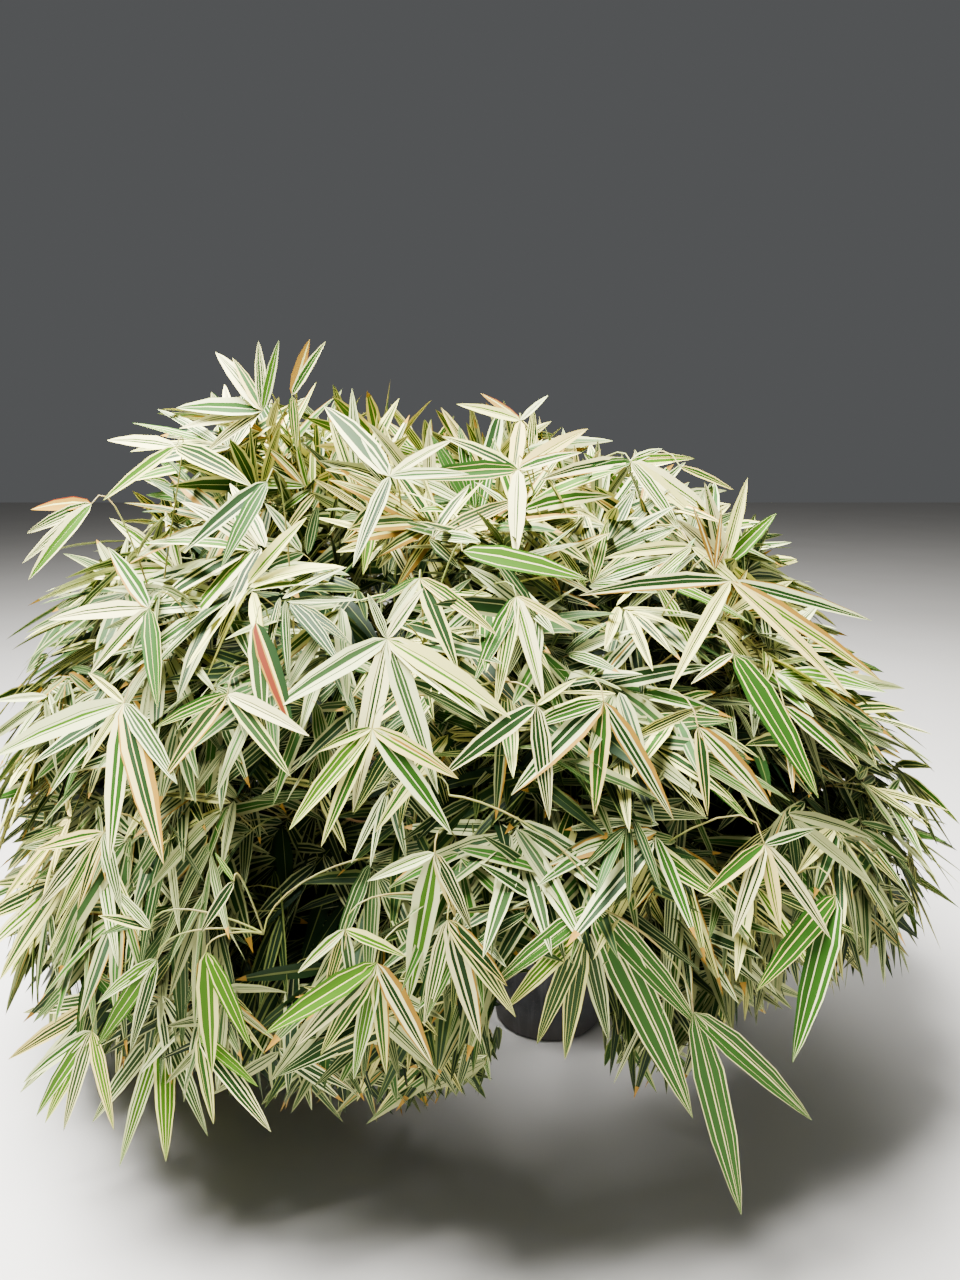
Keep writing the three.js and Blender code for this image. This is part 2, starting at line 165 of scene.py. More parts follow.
# the growing rule, the same as the CAD model's, in metres
crown = {
    "centreX": -0.22,
    "waistHeight": 0.55,
    "halfWidth": 1.2,
    "halfDepth": 0.98,
    "rise": 1.11,
    "riseSlope": -0.2,
    "drop": 0.45,
    "dropSlope": -0.2,
    "lowest": 0.03,
    "highest": 1.715,
    "entry": 0.42,
    "hollow": 0.15,
    "swell": (0.5, 0.25),
    "saddle": 0.1,
    "saddleX": -0.2,
    "saddleWidth": 0.28,
}
tiers = {
    "top": {"count": 3, "climb": 67, "first": 176, "centre": 0.72, "end": 0.82, "root": 0.028},
    "upper": {"count": 7, "climb": 36, "first": 24, "centre": 0.72, "end": 0.76, "root": 0.066},
    "middle": {"count": 8, "climb": 8, "first": 12, "centre": 0.74, "end": 0.76, "root": 0.106},
    "low": {"count": 8, "climb": -24, "first": 34, "centre": 0.76, "end": 0.74, "root": 0},
}


def seededDraw(seed):
    state = [seed]

    def draw(low=0.0, high=1.0):
        state[0] = (state[0] * 1664525 + 1013904223) % 4294967296
        return low + (high - low) * state[0] / 4294967296

    return draw


def unit(vector):
    return vector / np.linalg.norm(vector, axis=-1, keepdims=True)


def turned(vector, axis, angle):
    across = np.cross(axis, vector)
    return (vector * math.cos(angle) + across * math.sin(angle)
            + axis * np.dot(axis, vector) * (1 - math.cos(angle)))


def heightLimit(x, above):
    # how far the crown's limit lies above or below its waist
    return np.where(above, crown["rise"] + crown["riseSlope"] * x, crown["drop"] + crown["dropSlope"] * x)


def crownPoint(heading, climb, share):
    across = math.cos(climb) * share
    x = across * math.cos(heading) * crown["halfWidth"]
    y = across * math.sin(heading) * crown["halfDepth"]
    height = math.sin(climb) * share * heightLimit(x, climb > 0)
    return np.array([crown["centreX"] + x, y, crown["waistHeight"] + height])


def crownPlace(points):
    # each point's place in the crown, as parts of the way to its limit in x, y and z
    points = np.atleast_2d(points)
    x = points[:, 0] - crown["centreX"]
    height = points[:, 2] - crown["waistHeight"]
    limit = heightLimit(x, height > 0)
    return np.column_stack([x / crown["halfWidth"], points[:, 1] / crown["halfDepth"], height / limit])


def crownShare(points):
    return np.linalg.norm(crownPlace(points), axis=1)


def crownOutward(point):
    # the way out of the crown, square to its surface
    limit = heightLimit(point[0] - crown["centreX"], point[2] > crown["waistHeight"])
    return unit(crownPlace(point)[0] / np.array([crown["halfWidth"], crown["halfDepth"], limit]))


def crownHollow(points):
    # the crown's surface swells and sinks in crossing waves, so that shoots stand out and shade
    # lies between them, and its top has a saddle to the right of the peak
    x, y, z = np.atleast_2d(points).T
    high = np.clip((z - crown["waistHeight"]) / crown["rise"], 0, 1) ** 4
    saddle = crown["saddle"] * high * np.exp(-((x - crown["saddleX"]) / crown["saddleWidth"]) ** 2)
    wave = (np.sin(8.3 * x + 1.9 * z + 0.4) * np.sin(7.1 * y - 2.3 * x + 1.1)
            + np.sin(9.7 * z + 3.1 * x + 2.0) * np.sin(6.2 * x - 4.4 * y))
    middle, height = crown["swell"]
    return crown["hollow"] * (middle - height * wave) + saddle


def layOutMasses():
    masses = []
    for tierName, tier in tiers.items():
        climb = math.radians(tier["climb"])
        for place in range(tier["count"]):
            heading = math.radians(tier["first"]) + place * 2 * math.pi / tier["count"]
            masses.append({
                "tier": tierName,
                "root": tier["root"],
                "heading": heading,
                "label": f"{tierName}_{place + 1}",
                "seed": len(masses) + 1,
                "entry": crownPoint(heading, climb, crown["entry"]),
                "centre": crownPoint(heading, climb, tier["centre"]),
                "end": crownPoint(heading, climb, tier["end"]),
            })
    for mass in masses:
        others = np.array([other["centre"] for other in masses if other is not mass])
        mass["normals"] = unit(others - mass["centre"])
        mass["limits"] = np.sum(mass["normals"] * (others + mass["centre"]) / 2, axis=1)
    return masses


def inCell(points, mass, slack):
    return bool(np.all(points @ mass["normals"].T < mass["limits"] + slack))


def bentPath(corners, steps=80):
    # a smooth path drawn by its corners
    along = np.linspace(0, 1, steps + 1)[:, None]
    corners = [np.asarray(corner, float) for corner in corners]
    while len(corners) > 1:
        corners = [start + (end - start) * along for start, end in zip(corners, corners[1:])]
    return corners[0]


def pathLength(path):
    return float(np.linalg.norm(np.diff(path, axis=0), axis=1).sum())


def pathPoints(path, shares):
    steps = np.linalg.norm(np.diff(path, axis=0), axis=1)
    travelled = np.concatenate([[0], np.cumsum(steps)]) / steps.sum()
    return np.column_stack([np.interp(shares, travelled, path[:, axis]) for axis in range(3)])


def pathAhead(path, share, reach=0.01):
    behind, ahead = pathPoints(path, [max(share - reach, 0), min(share + reach, 1)])
    return unit(ahead - behind)


# canes: they stand in the soil, lean out and bend over to the masses that they carry
caneSettings = {
    "soilTop": 0.2623,
    "buried": 0.02,
    "straightShare": 0.62,
    "leanShare": 0.1,
    "bendShare": 0.3,
    "footRadius": 0.0065,
    "tipRadius": 0.0036,
    "internode": 0.19,
    "ringHalf": 0.005,
    "ringProud": 0.18,
    "ringClear": 2.4,
    "ringShape": ((-1, 0), (-0.5, 0.8), (0, 1), (0.3, -0.3), (0.7, 0.5), (1.4, 0)),
    "stepLength": 0.018,
    "sides": 12,
    "relief": 0.0004,
    "grain": 90.0,
}
boughSettings = {
    "footRadius": 0.0034,
    "tipRadius": 0.0026,
    "leaveAt": 0.62,
    "bendShare": 0.35,
    "stepLength": 0.016,
    "sides": 8,
    "relief": 0.0003,
    "grain": 130.0,
}


def canePath(mass):
    outward = np.array([math.cos(mass["heading"]), math.sin(mass["heading"]), 0])
    root = outward * mass["root"] + up * caneSettings["soilTop"]
    rise = mass["entry"][2] - root[2]
    span = np.linalg.norm(mass["entry"] - root)
    arrival = unit(mass["centre"] - mass["entry"])
    straight = root + up * rise * caneSettings["straightShare"]
    straight = straight + outward * span * caneSettings["leanShare"]
    bend = mass["entry"] - arrival * span * caneSettings["bendShare"]
    return bentPath([root, straight, bend, mass["entry"]])


def caneJoints(path):
    joints = round(pathLength(path) / caneSettings["internode"])
    return [(joint + 0.5) / joints for joint in range(joints)]


def taper(sizes, share):
    return sizes["footRadius"] + (sizes["tipRadius"] - sizes["footRadius"]) * share


def tapered(path, sizes):
    # a path whose points are evenly apart, with its girths
    return path, taper(sizes, np.linspace(0, 1, len(path)))


def caneStations(path):
    # the cane's taper, with a raised ring and a groove at each joint
    length = pathLength(path)
    shares = list(np.linspace(0, 1, round(length / caneSettings["stepLength"])))
    girths = [taper(caneSettings, share) for share in shares]
    half = caneSettings["ringHalf"] / length
    clear = half * caneSettings["ringClear"]
    for joint in caneJoints(path):
        kept = [index for index, share in enumerate(shares) if abs(share - joint) > clear]
        shares = [shares[index] for index in kept]
        girths = [girths[index] for index in kept]
        for offset, swell in caneSettings["ringShape"]:
            shares.append(joint + offset * half)
            girths.append(taper(caneSettings, joint) * (1 + caneSettings["ringProud"] * swell))
    order = np.argsort(shares)
    return pathPoints(path, np.array(shares)[order]), np.array(girths)[order]


def boughPath(mass, cane):
    joints = caneJoints(cane["path"])
    leave = min(joints, key=lambda joint: abs(joint - boughSettings["leaveAt"]))
    fork = pathPoints(cane["path"], [leave])[0]
    leaving = unit(mass["entry"] - fork)
    arrival = unit(mass["centre"] - mass["entry"])
    reach = np.linalg.norm(mass["entry"] - fork) * boughSettings["bendShare"]
    return bentPath([fork, fork + leaving * reach, mass["entry"] - arrival * reach, mass["entry"]])


def layOutLimbs(masses):
    canes = [{"mass": mass, "path": canePath(mass)} for mass in masses if mass["root"] > 0]
    carriers = [cane for cane in canes if cane["mass"]["tier"] == "middle"]
    boughs = []
    for mass in masses:
        if mass["root"] == 0:
            cane = max(carriers, key=lambda limb: math.cos(limb["mass"]["heading"] - mass["heading"]))
            boughs.append({"mass": mass, "path": boughPath(mass, cane)})
    return canes, boughs


def newTree(name, **inputs):
    # a tree of nodes with its inputs by name: gives its bench and the inputs' sockets
    tree = bpy.data.node_groups.new(name, "GeometryNodeTree")
    for label, kind in {"Geometry": "Geometry", **inputs, "Material": "Material"}.items():
        tree.interface.new_socket(label, in_out="INPUT", socket_type=f"NodeSocket{kind}")
    tree.interface.new_socket("Geometry", in_out="OUTPUT", socket_type="NodeSocketGeometry")
    bench = Bench(tree)
    return bench, bench.node("NodeGroupInput").outputs


def closeTree(bench, shape, material):
    shape = bench.signal("GeometryNodeRealizeInstances", {}, {"Geometry": shape})
    shape = bench.signal("GeometryNodeSetMaterial", {}, {"Geometry": shape, "Material": material})
    bench.node("NodeGroupOutput", {}, {"Geometry": shape})
    return bench.tree


def buildLimbTree():
    # turns paths with a girth at each point into round, closed, slightly rough limbs
    bench, given = newTree("limbsAlongPaths", Sides="Int", Relief="Float", Grain="Float")
    girth = bench.signal("GeometryNodeInputNamedAttribute", {"data_type": "FLOAT"}, {"Name": "girth"})
    paths = bench.signal("GeometryNodeMeshToCurve", {}, {0: given["Geometry"]})
    ring = bench.signal("GeometryNodeCurvePrimitiveCircle", {}, {"Resolution": given["Sides"], "Radius": 1.0})
    limbs = bench.signal("GeometryNodeCurveToMesh", {},
                         {"Curve": paths, "Profile Curve": ring, "Scale": girth, "Fill Caps": True})
    rough = bench.noise(given["Grain"], 2.0, bench.signal("GeometryNodeInputPosition")) - 0.5
    height = rough * Signal(bench, given["Relief"]) * 2
    normal = bench.signal("GeometryNodeInputNormal")
    offset = bench.signal("ShaderNodeVectorMath", {"operation": "SCALE"}, {0: normal, "Scale": height})
    limbs = bench.signal("GeometryNodeSetPosition", {}, {"Geometry": limbs, "Offset": offset})
    limbs = bench.signal("GeometryNodeSetShadeSmooth", {}, {"Geometry": limbs})
    return closeTree(bench, limbs, given["Material"])


def runTree(piece, tree, values):
    # the modifier's inputs are set first, then its result becomes the piece's plain mesh
    modifier = piece.modifiers.new("grow", "NODES")
    modifier.node_group = tree
    for item in tree.interface.items_tree:
        if item.item_type == "SOCKET" and item.in_out == "INPUT" and item.name in values:
            modifier[item.identifier] = values[item.name]
    graph = bpy.context.evaluated_depsgraph_get()
    mesh = bpy.data.meshes.new_from_object(piece.evaluated_get(graph), depsgraph=graph)
    piece.modifiers.remove(modifier)
    mesh.name = piece.name
    piece.data = mesh


def growLimbs(name, paths, settings, material):
    edges = []
    first = 0
    for line, _ in paths:
        edges += [(first + step, first + step + 1) for step in range(len(line) - 1)]
        first += len(line)
    mesh = bpy.data.meshes.new(name)
    mesh.from_pydata(np.vstack([line for line, _ in paths]).tolist(), edges, [])
    girths = np.concatenate([girths for _, girths in paths])
    mesh.attributes.new("girth", "FLOAT", "POINT").data.foreach_set("value", girths)
    piece = addObject(name, mesh)
    sizes = {key.title(): settings[key] for key in ("sides", "relief", "grain")}
    runTree(piece, limbTree, {**sizes, "Material": material})
    return piece


def finishPiece(piece, slotName, *nodes):
    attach(piece, "root")
    if nodes:
        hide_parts(*nodes)


caneColours = {
    "young": tone(128, 138, 62),
    "old": tone(150, 128, 66),
    "dark": tone(74, 66, 34),
}


def makeCaneSkin(name, scale):
    material, bench, shader = newMaterial(name, {"Specular IOR Level": 0.45})
    patches = bench.between(bench.noise(5.0 * scale), 0.38, 0.64)
    stains = bench.between(bench.noise(38.0 * scale, 5.0), 0.56, 0.74)
    colour = bench.blend(patches, caneColours["young"], caneColours["old"])
    colour = bench.blend(stains * 0.6, colour, caneColours["dark"])
    grooves = bench.noise(420.0, 2.0)
    feed(bench, shader, colour=colour, roughness=0.42 + stains * 0.3, bump=(grooves, 0.0003))
    return material


sheathColours = {
    "straw": tone(196, 160, 104),
    "brown": tone(126, 88, 50),
}


def makeSheathPaper():
    material, bench, shader = newMaterial("sheathPaper", {"Specular IOR Level": 0.3})
    blotches = bench.between(bench.noise(26.0, 4.0), 0.42, 0.7)
    fibres = bench.noise(520.0, 2.0)
    colour = bench.blend(blotches, sheathColours["straw"], sheathColours["brown"])
    feed(bench, shader, colour=colour, roughness=0.6 + fibres * 0.2, bump=(fibres, 0.0004))
    return material


# papery sheaths wrap the canes above each joint
sheathSettings = {
    "lengthShare": 0.46,
    "looseness": (1.16, 1.26, 1.34, 1.3, 1.12),
    "sides": 10,
    "relief": 0.0005,
    "grain": 60.0,
}


def sheathPaths(cane):
    joints = caneJoints(cane["path"])
    reach = sheathSettings["lengthShare"] / len(joints)
    looseness = np.array(sheathSettings["looseness"])
    paths = []
    for joint in joints:
        shares = joint + reach * np.linspace(0, 1, len(looseness))
        if shares[-1] < 1:
            paths.append((pathPoints(cane["path"], shares), taper(caneSettings, joint) * looseness))
    return paths


masses = layOutMasses()
canes, boughs = layOutLimbs(masses)
limbTree = buildLimbTree()


def makeCanes():
    skin = makeCaneSkin("caneSkin", 1.0)
    lines = []
    for cane in canes:
        line, girths = caneStations(cane["path"])
        foot = line[0] - up * caneSettings["buried"]
        lines.append((np.vstack([foot, line]), np.concatenate([[girths[0]], girths])))
    names = ["culm_" + cane["mass"]["label"] for cane in canes]
    finishPiece(growLimbs("canes", lines, caneSettings, skin), "cane", *names)
    sheaths = [path for cane in canes for path in sheathPaths(cane)]
    finishPiece(growLimbs("caneSheaths", sheaths, sheathSettings, makeSheathPaper()), "cane")
    print(f"canes: {len(canes)}, sheaths: {len(sheaths)}")


def makeBoughs():
    skin = makeCaneSkin("boughSkin", 1.4)
    lines = []
    for bough in boughs:
        steps = round(pathLength(bough["path"]) / boughSettings["stepLength"])
        lines.append(tapered(pathPoints(bough["path"], np.linspace(0, 1, steps)), boughSettings))
    names = ["bough_" + bough["mass"]["label"] for bough in boughs]
    finishPiece(growLimbs("boughs", lines, boughSettings, skin), "twig_wood", *names)
    print(f"boughs: {len(boughs)}")


makeCanes()
makeBoughs()


# the pot: a turned wall with a rolled rim, a little out of round, faded and dusty near the ground
potSettings = {
    "height": 0.3,
    "baseRadius": 0.138,
    "topRadius": 0.15,
    "corner": 0.01,
    "wall": 0.003,
    "floor": 0.005,
    "rimHeight": 0.014,
    "rimProud": 0.004,
    "rimFootBend": ((0.7, 0.0008), (1, 0.0026)),
    "rimTopBend": ((1, 0.0022), (0.6, 0.0004), (0, 0)),
    "innerBend": (0.7, 0.0003),
    "footHollow": 0.004,
    "footRing": (0.8, 0.86),
    "sides": 120,
    "wallSteps": 24,
    "dent": 0.0012,
}


def potWall(height):
    rise = (potSettings["topRadius"] - potSettings["baseRadius"]) / potSettings["height"]
    return potSettings["baseRadius"] + rise * height


def potProfile():
    corner, top = potSettings["corner"], potSettings["height"]
    rimFoot, proud = top - potSettings["rimHeight"], potSettings["rimProud"]
    wall, floor = potSettings["wall"], potSettings["floor"]
    middle = potSettings["baseRadius"] - corner
    hollow, (ringInner, ringOuter) = potSettings["footHollow"], potSettings["footRing"]
    profile = [(0, hollow), (middle * ringInner, hollow), (middle * ringOuter, 0)]
    profile += [(middle + corner * math.sin(turn), corner * (1 - math.cos(turn)))
                for turn in np.linspace(0, math.pi / 2, 7)]
    heights = np.linspace(corner * 1.6, rimFoot, potSettings["wallSteps"])
    profile += [(potWall(height), height) for height in heights]
    rim, mouth = potWall(rimFoot), potSettings["topRadius"]
    profile += [(rim + proud * share, rimFoot + rise) for share, rise in potSettings["rimFootBend"]]
    profile += [(mouth + proud * share, top - fall) for share, fall in potSettings["rimTopBend"]]
    share, fall = potSettings["innerBend"]
    profile.append((mouth - wall * share, top - fall))
    profile += [(potWall(height) - wall, height) for height in np.linspace(top - 0.002, floor, 8)]
    profile.append((0, floor))
    return profile


def turnedMesh(name, profile, sides):
    # a profile turned round the upright axis, with one corner where it meets the axis
    angles = np.arange(sides) * 2 * math.pi / sides
    vertices, rings = [], []
    for radius, height in profile:
        rings.append(list(range(len(vertices), len(vertices) + (1 if radius == 0 else sides))))
        if radius == 0:
            vertices.append((0, 0, height))
        else:
            vertices += [(radius * math.cos(angle), radius * math.sin(angle), height) for angle in angles]
    faces = []
    for lower, upper in zip(rings, rings[1:]):
        for side in range(sides):
            after = (side + 1) % sides
            corners = [lower[side % len(lower)], lower[after % len(lower)],
                       upper[after % len(upper)], upper[side % len(upper)]]
            faces.append(list(dict.fromkeys(corners)))
    mesh = bpy.data.meshes.new(name)
    mesh.from_pydata(vertices, [], faces)
    mesh.shade_smooth()
    return mesh


potColours = {
    "faded": tone(74, 76, 80),
    "black": tone(40, 41, 44),
    "dust": tone(106, 99, 91),
    "scuff": tone(118, 118, 120),
}


def makePotPlastic():
    material, bench, shader = newMaterial("dustyPotPlastic", {"Specular IOR Level": 0.4})
    height = bench.signal("ShaderNodeSeparateXYZ", {}, {0: bench.place()}, 2)
    cloudy = bench.noise(9.0, 5.0)
    stretched = bench.signal("ShaderNodeMapping", {}, {"Vector": bench.place(), "Scale": (1, 1, 0.12)})
    streaks = bench.between(bench.noise(60.0, 4.0, stretched), 0.55, 0.78)
    specks = bench.between(bench.noise(240.0, 2.0), 0.62, 0.74)
    nearGround = 1 - bench.between(height + cloudy * 0.08, 0.03, 0.13)
    colour = bench.blend(bench.between(cloudy, 0.35, 0.7), potColours["black"], potColours["faded"])
    colour = bench.blend(streaks * 0.35, colour, potColours["scuff"])
    colour = bench.blend(nearGround * 0.5, colour, potColours["dust"])
    colour = bench.blend(specks * 0.5, colour, potColours["dust"])
    grain = bench.noise(300.0, 3.0)
    roughness = 0.48 + nearGround * 0.3 + streaks * 0.12
    feed(bench, shader, colour=colour, roughness=roughness, bump=(grain, 0.0003))
    return material


def makePot():
    mesh = turnedMesh("pot", potProfile(), potSettings["sides"])
    for vertex in mesh.vertices:
        angle = math.atan2(vertex.co.y, vertex.co.x)
        lift = vertex.co.z / potSettings["height"]
        push = math.sin(2 * angle + 0.6) * lift + 0.5 * math.sin(5 * angle + 2 + 3 * lift) * lift * (1 - lift)
        scale = 1 + potSettings["dent"] * push / potSettings["baseRadius"]
        vertex.co.x *= scale
        vertex.co.y *= scale
    mesh.materials.append(makePotPlastic())
    finishPiece(addObject("plantPot", mesh), "pot_plastic", "pot")
    print("pot: made")


makePot()


# the potting mix: a rough crowned top, with crumbs of bark scattered over it
soilSettings = {
    "top": 0.262,
    "crownFall": 0.008,
    "flatShare": 0.86,
    "gap": 0.0003,
    "edgeGap": 0.0009,
    "rings": 26,
    "sides": 96,
    "relief": (-0.0035, 0.0015),
    "crumbs": 5200.0,
    "crumbSize": 0.0042,
    "smallest": (0.25, 0.25, 0.15),
    "largest": (1.3, 0.9, 0.5),
    "spin": (6.28, 6.28, 6.28),
    "seed": 7,
}


def makeSoilMix():
    material, bench, shader = newMaterial("pottingMix", {"Specular IOR Level": 0.25})
    clods = bench.noise(70.0, 5.0)
    fine = bench.noise(420.0, 3.0)
    colour = bench.blend(bench.between(clods, 0.35, 0.68), tone(40, 27, 19), tone(88, 64, 45))
    colour = bench.blend(bench.between(fine, 0.62, 0.75) * 0.6, colour, tone(142, 116, 84))
    feed(bench, shader, colour=colour, roughness=0.8 + fine * 0.18, bump=(clods * 0.6 + fine * 0.4, 0.0016))
    return material


def soilProfile():
    floor = potSettings["floor"] + soilSettings["gap"]
    inset = potSettings["wall"] + soilSettings["gap"] + soilSettings["edgeGap"]
    edge = soilSettings["top"] - soilSettings["crownFall"]
    profile = [(0, floor)] + [(potWall(height) - inset, height) for height in np.linspace(floor, edge, 6)]
    outer = potWall(edge) - inset
    flat = potSettings["baseRadius"] * soilSettings["flatShare"]
    for share in np.linspace(1, 0, soilSettings["rings"])[1:]:
        radius = outer * share
        height = edge + soilSettings["crownFall"] * min((outer - radius) / (outer - flat), 1)
        profile.append((radius, height))
    return profile


def buildCrumbTree():
    # scatters flat crumbs of every size over the faces that look up
    bench, given = newTree("crumbsOnSoil", Density="Float", Size="Float", Seed="Int")
    upward = bench.signal("ShaderNodeSeparateXYZ", {}, {0: bench.signal("GeometryNodeInputNormal")}, 2)
    facingUp = bench.signal("FunctionNodeCompare", {"data_type": "FLOAT", "operation": "GREATER_THAN"},
                            {0: upward, 1: 0.6})
    points = bench.signal("GeometryNodeDistributePointsOnFaces", {}, {
        "Mesh": given["Geometry"], "Selection": facingUp, "Density": given["Density"], "Seed": given["Seed"]})
    crumb = bench.signal("GeometryNodeMeshIcoSphere", {}, {"Radius": given["Size"], "Subdivisions": 1})
    spin = bench.signal("FunctionNodeRandomValue", {"data_type": "FLOAT_VECTOR"},
                        {"Max": soilSettings["spin"], "Seed": given["Seed"]})
    size = bench.signal("FunctionNodeRandomValue", {"data_type": "FLOAT_VECTOR"},
                        {"Min": soilSettings["smallest"], "Max": soilSettings["largest"],
                         "Seed": given["Seed"]})
    crumbs = bench.signal("GeometryNodeInstanceOnPoints", {}, {
        "Points": points, "Instance": crumb, "Rotation": spin, "Scale": size})
    return closeTree(bench, crumbs, given["Material"])


def makeSoil():
    mix = makeSoilMix()
    mesh = turnedMesh("soil", soilProfile(), soilSettings["sides"])
    draw = seededDraw(soilSettings["seed"])
    for vertex in mesh.vertices:
        if vertex.co.z > soilSettings["top"] - soilSettings["crownFall"] - 1e-4:
            vertex.co.z += draw(*soilSettings["relief"])
    mesh.materials.append(mix)
    crumbs = addObject("soilCrumbs", mesh.copy())
    values = {"Density": soilSettings["crumbs"], "Size": soilSettings["crumbSize"]}
    runTree(crumbs, buildCrumbTree(), {**values, "Seed": soilSettings["seed"], "Material": mix})
    finishPiece(addObject("soilTop", mesh), "potting_mix", "soil")
    finishPiece(crumbs, "potting_mix")
    print(f"soil: {len(crumbs.data.polygons)} crumb faces")


makeSoil()


# leaf blades: long pointed outlines in lengthwise strips, each strip one plain colour
bladeColours = {
    "ivory": tone(236, 230, 156),
    "cream": tone(220, 215, 122),
    "palest": tone(206, 212, 146),
    "butter": tone(220, 200, 112),
    "midGreen": tone(36, 74, 14),
    "deepGreen": tone(22, 48, 12),
    "greyGreen": tone(42, 68, 28),
    "freshGreen": tone(58, 98, 10),
    "straw": tone(150, 113, 34),
    "rust": tone(102, 38, 12),
    # painted shade: the next three colours are darker creams and a dark green that stand in for the shade
    # inside and under the crown
    "shadedCream": tone(146, 150, 96),
    "deepShadeCream": tone(98, 108, 52),
    "shadeGreen": tone(14, 34, 10),
    "youngGreen": tone(44, 84, 22),
}
bladePalette = list(bladeColours)
outerTints = {"c": ("ivory", "cream", "palest", "ivory", "cream", "palest", "ivory", "butter"),
              "g": ("midGreen", "deepGreen", "greyGreen", "freshGreen", "deepGreen", "midGreen",
                    "freshGreen")}
# painted shade: tints for fans that lie in the crown's shade, and darker ones for fans deep inside it
shadedTints = {"c": ("shadedCream", "shadedCream", "palest", "shadedCream", "cream"),
               "g": ("deepGreen", "midGreen", "deepGreen", "greyGreen")}
innerShadeTints = {"c": ("deepShadeCream", "deepShadeCream", "shadedCream"),
              "g": ("shadeGreen", "deepGreen", "shadeGreen")}
dryTints = {"s": "straw", "r": "rust"}

# c is a leaf's light tint, g its green, s straw and r rust, each with its share of the width
bladeLooks = {
    "ivory": (11, "c5 g1.2 c1 g1.6 c1 g1.2 c4.4"),
    "twin": (11, "c4 g1.8 c2.6 g3 c1 g1 c3"),
    "even": (20, "c2 g2.2 c1 g3.2 c1.1 g3 c1 g2.2 c2"),
    "heart": (30, "c3 g4.4 c1 g4.4 c3.4"),
    "half": (12, "c4.6 g5.4 c0.9 g3.4 c1"),
    "green": (10, "c0.6 g3 c0.7 g5 c0.8 g4 c0.7 g3"),
    "gold": (5, "c2 g2 c1 s1.6 c1 g3 c3"),
    "tan": (6, "s1.6 c2.6 g3.4 c1 g3 c2.4"),
    "plain": (3, "c6 g1.4 c1.2 g1.2 c5"),
    "drying": (3, "s4 c2 g1.6 c1 g2 c2.4 s1"),
    "fresh": (0, "g1.4 c0.6 g4 c0.5 g4.4 c0.6 g1.6"),
    "shoot": (0, "c0.8 g3 c0.9 g5 c0.7 g2 c1.2 g6 c0.8 g4 c0.9"),
    "rusty": (0, "g3 c0.8 s0.5 r1.8 s0.6"),
    "dry": (0, "s3 c0.8 s1.6 r0.4"),
}
# mostly green looks, which add to the painted shade deep in the crown
innerLooks = {
    "inner": (3, "g5 c1 g6"),
    "banded": (7, "c2 g5 c1 g4 c2"),
}
bladeSettings = {
    "stations": (0, 0.08, 0.3, 0.62, 0.88, 1),
    "breadth": (0, 0.6, 1, 0.84, 0.36, 0),
    "length": (0.13, 0.25),
    "widthShare": (0.13, 0.19),
    "sag": (0.04, 0.2),
    "fold": (0.08, 0.28),
    "twist": 0.55,
    "sway": (-9, 9),
    "loosen": 0.5,
    "roll": 30,
    "lift": (-10, 20),
    "shorten": 0.07,
    "tested": (0.4, 0.75, 1.0),
    "clear": 0.016,
    "tries": 5,
    "rootSpacing": 0.007,
    "reach": 1.07,
    "cellSlack": 0.09,
    "brownTips": 0.14,
    "jitter": 0.448,
    "twistFrom": 0.1,
}
fanSettings = {
    "leaves": (4, 8.99),
    "spread": 82,
    "outward": (0.1, 0.8),
    "hang": 0.4,
    "turn": 46,
    "topLift": 0.6,
    "topTurn": 110,
    "outFall": 0.1,
    "faceOut": 0.9,
    "faceUp": 0.4,
    "faceStray": 0.5,
    "innerShare": (0.66, 0.82),
    "shadedShare": (0.82, 1.05),
    # painted shade: the shade tints reach further out towards the bottom of the crown, less at its top
    "shadeHeight": (0.03, 0.6, 1.15, 1.45, 1.66),
    "shadeShift": (0.2, 0.13, 0.09, -0.06, -0.12),
    "lookKept": 0.62,
    "tintKept": 0.7,
    "shorten": 0.2,
    "varied": (0.88, 1.06),
    "clear": 0.012,
}
spraySettings = {
    "count": 13,
    "length": (0.14, 0.42),
    "spread": (28, 76),
    "footRadius": 0.0021,
    "tipRadius": 0.0013,
    "arch": 0.16,
    "steps": 9,
    "limit": 0.94,
    "tries": 14,
}
twigSettings = {
    "gap": 0.037,
    "length": (0.05, 0.15),
    "spread": (30, 68),
    "footRadius": 0.0013,
    "tipRadius": 0.0009,
    "arch": 0.1,
    "steps": 5,
    "limit": 0.98,
    "tries": 9,
    "firstShare": 0.22,
    "sides": 4,
    "relief": 0.0001,
    "grain": 200.0,
}
stemSettings = {"footRadius": 0.0026, "tipRadius": 0.0017, "fallShare": 0.12, "steps": 24}
stickSettings = {"stray": (25, 16), "tested": (0.6, 1.0), "widest": 0.2, "outerBonus": 0.12,
                 "setOff": 0.25, "arrive": 0.35, "shareInGap": 0.3, "aheadReach": 0.05}
potView = {"halfWidth": 0.1, "height": 0.2, "climb": 0.6, "drift": 0.083, "clearance": 0.012}


# places where the crown is open, each with its radius
openings = (
    ((-1.05, -0.55, 0.5), 0.14),
    ((-0.51, -0.8, 0.78), 0.11),
    ((-0.5, -0.78, 0.66), 0.09),
    ((-0.22, -0.84, 0.96), 0.09),
    ((0.33, -0.62, 1.0), 0.06),
    ((-0.08, -0.85, 0.91), 0.085),
    ((0.46, -0.6, 0.9), 0.07),
    ((0.56, -0.55, 0.8), 0.07),
    ((0.17, -0.72, 0.88), 0.06),
)


def buildLimbSpots():
    # spots along the canes and boughs, to keep the leaves off them
    lines = [pathPoints(limb["path"], np.linspace(0, 1, 90)) for limb in canes + boughs]
    spots = np.vstack(lines)
    spotTree = KDTree(len(spots))
    for index, spot in enumerate(spots):
        spotTree.insert(spot, index)
    spotTree.balance()
    return spotTree


limbSpots = buildLimbSpots()


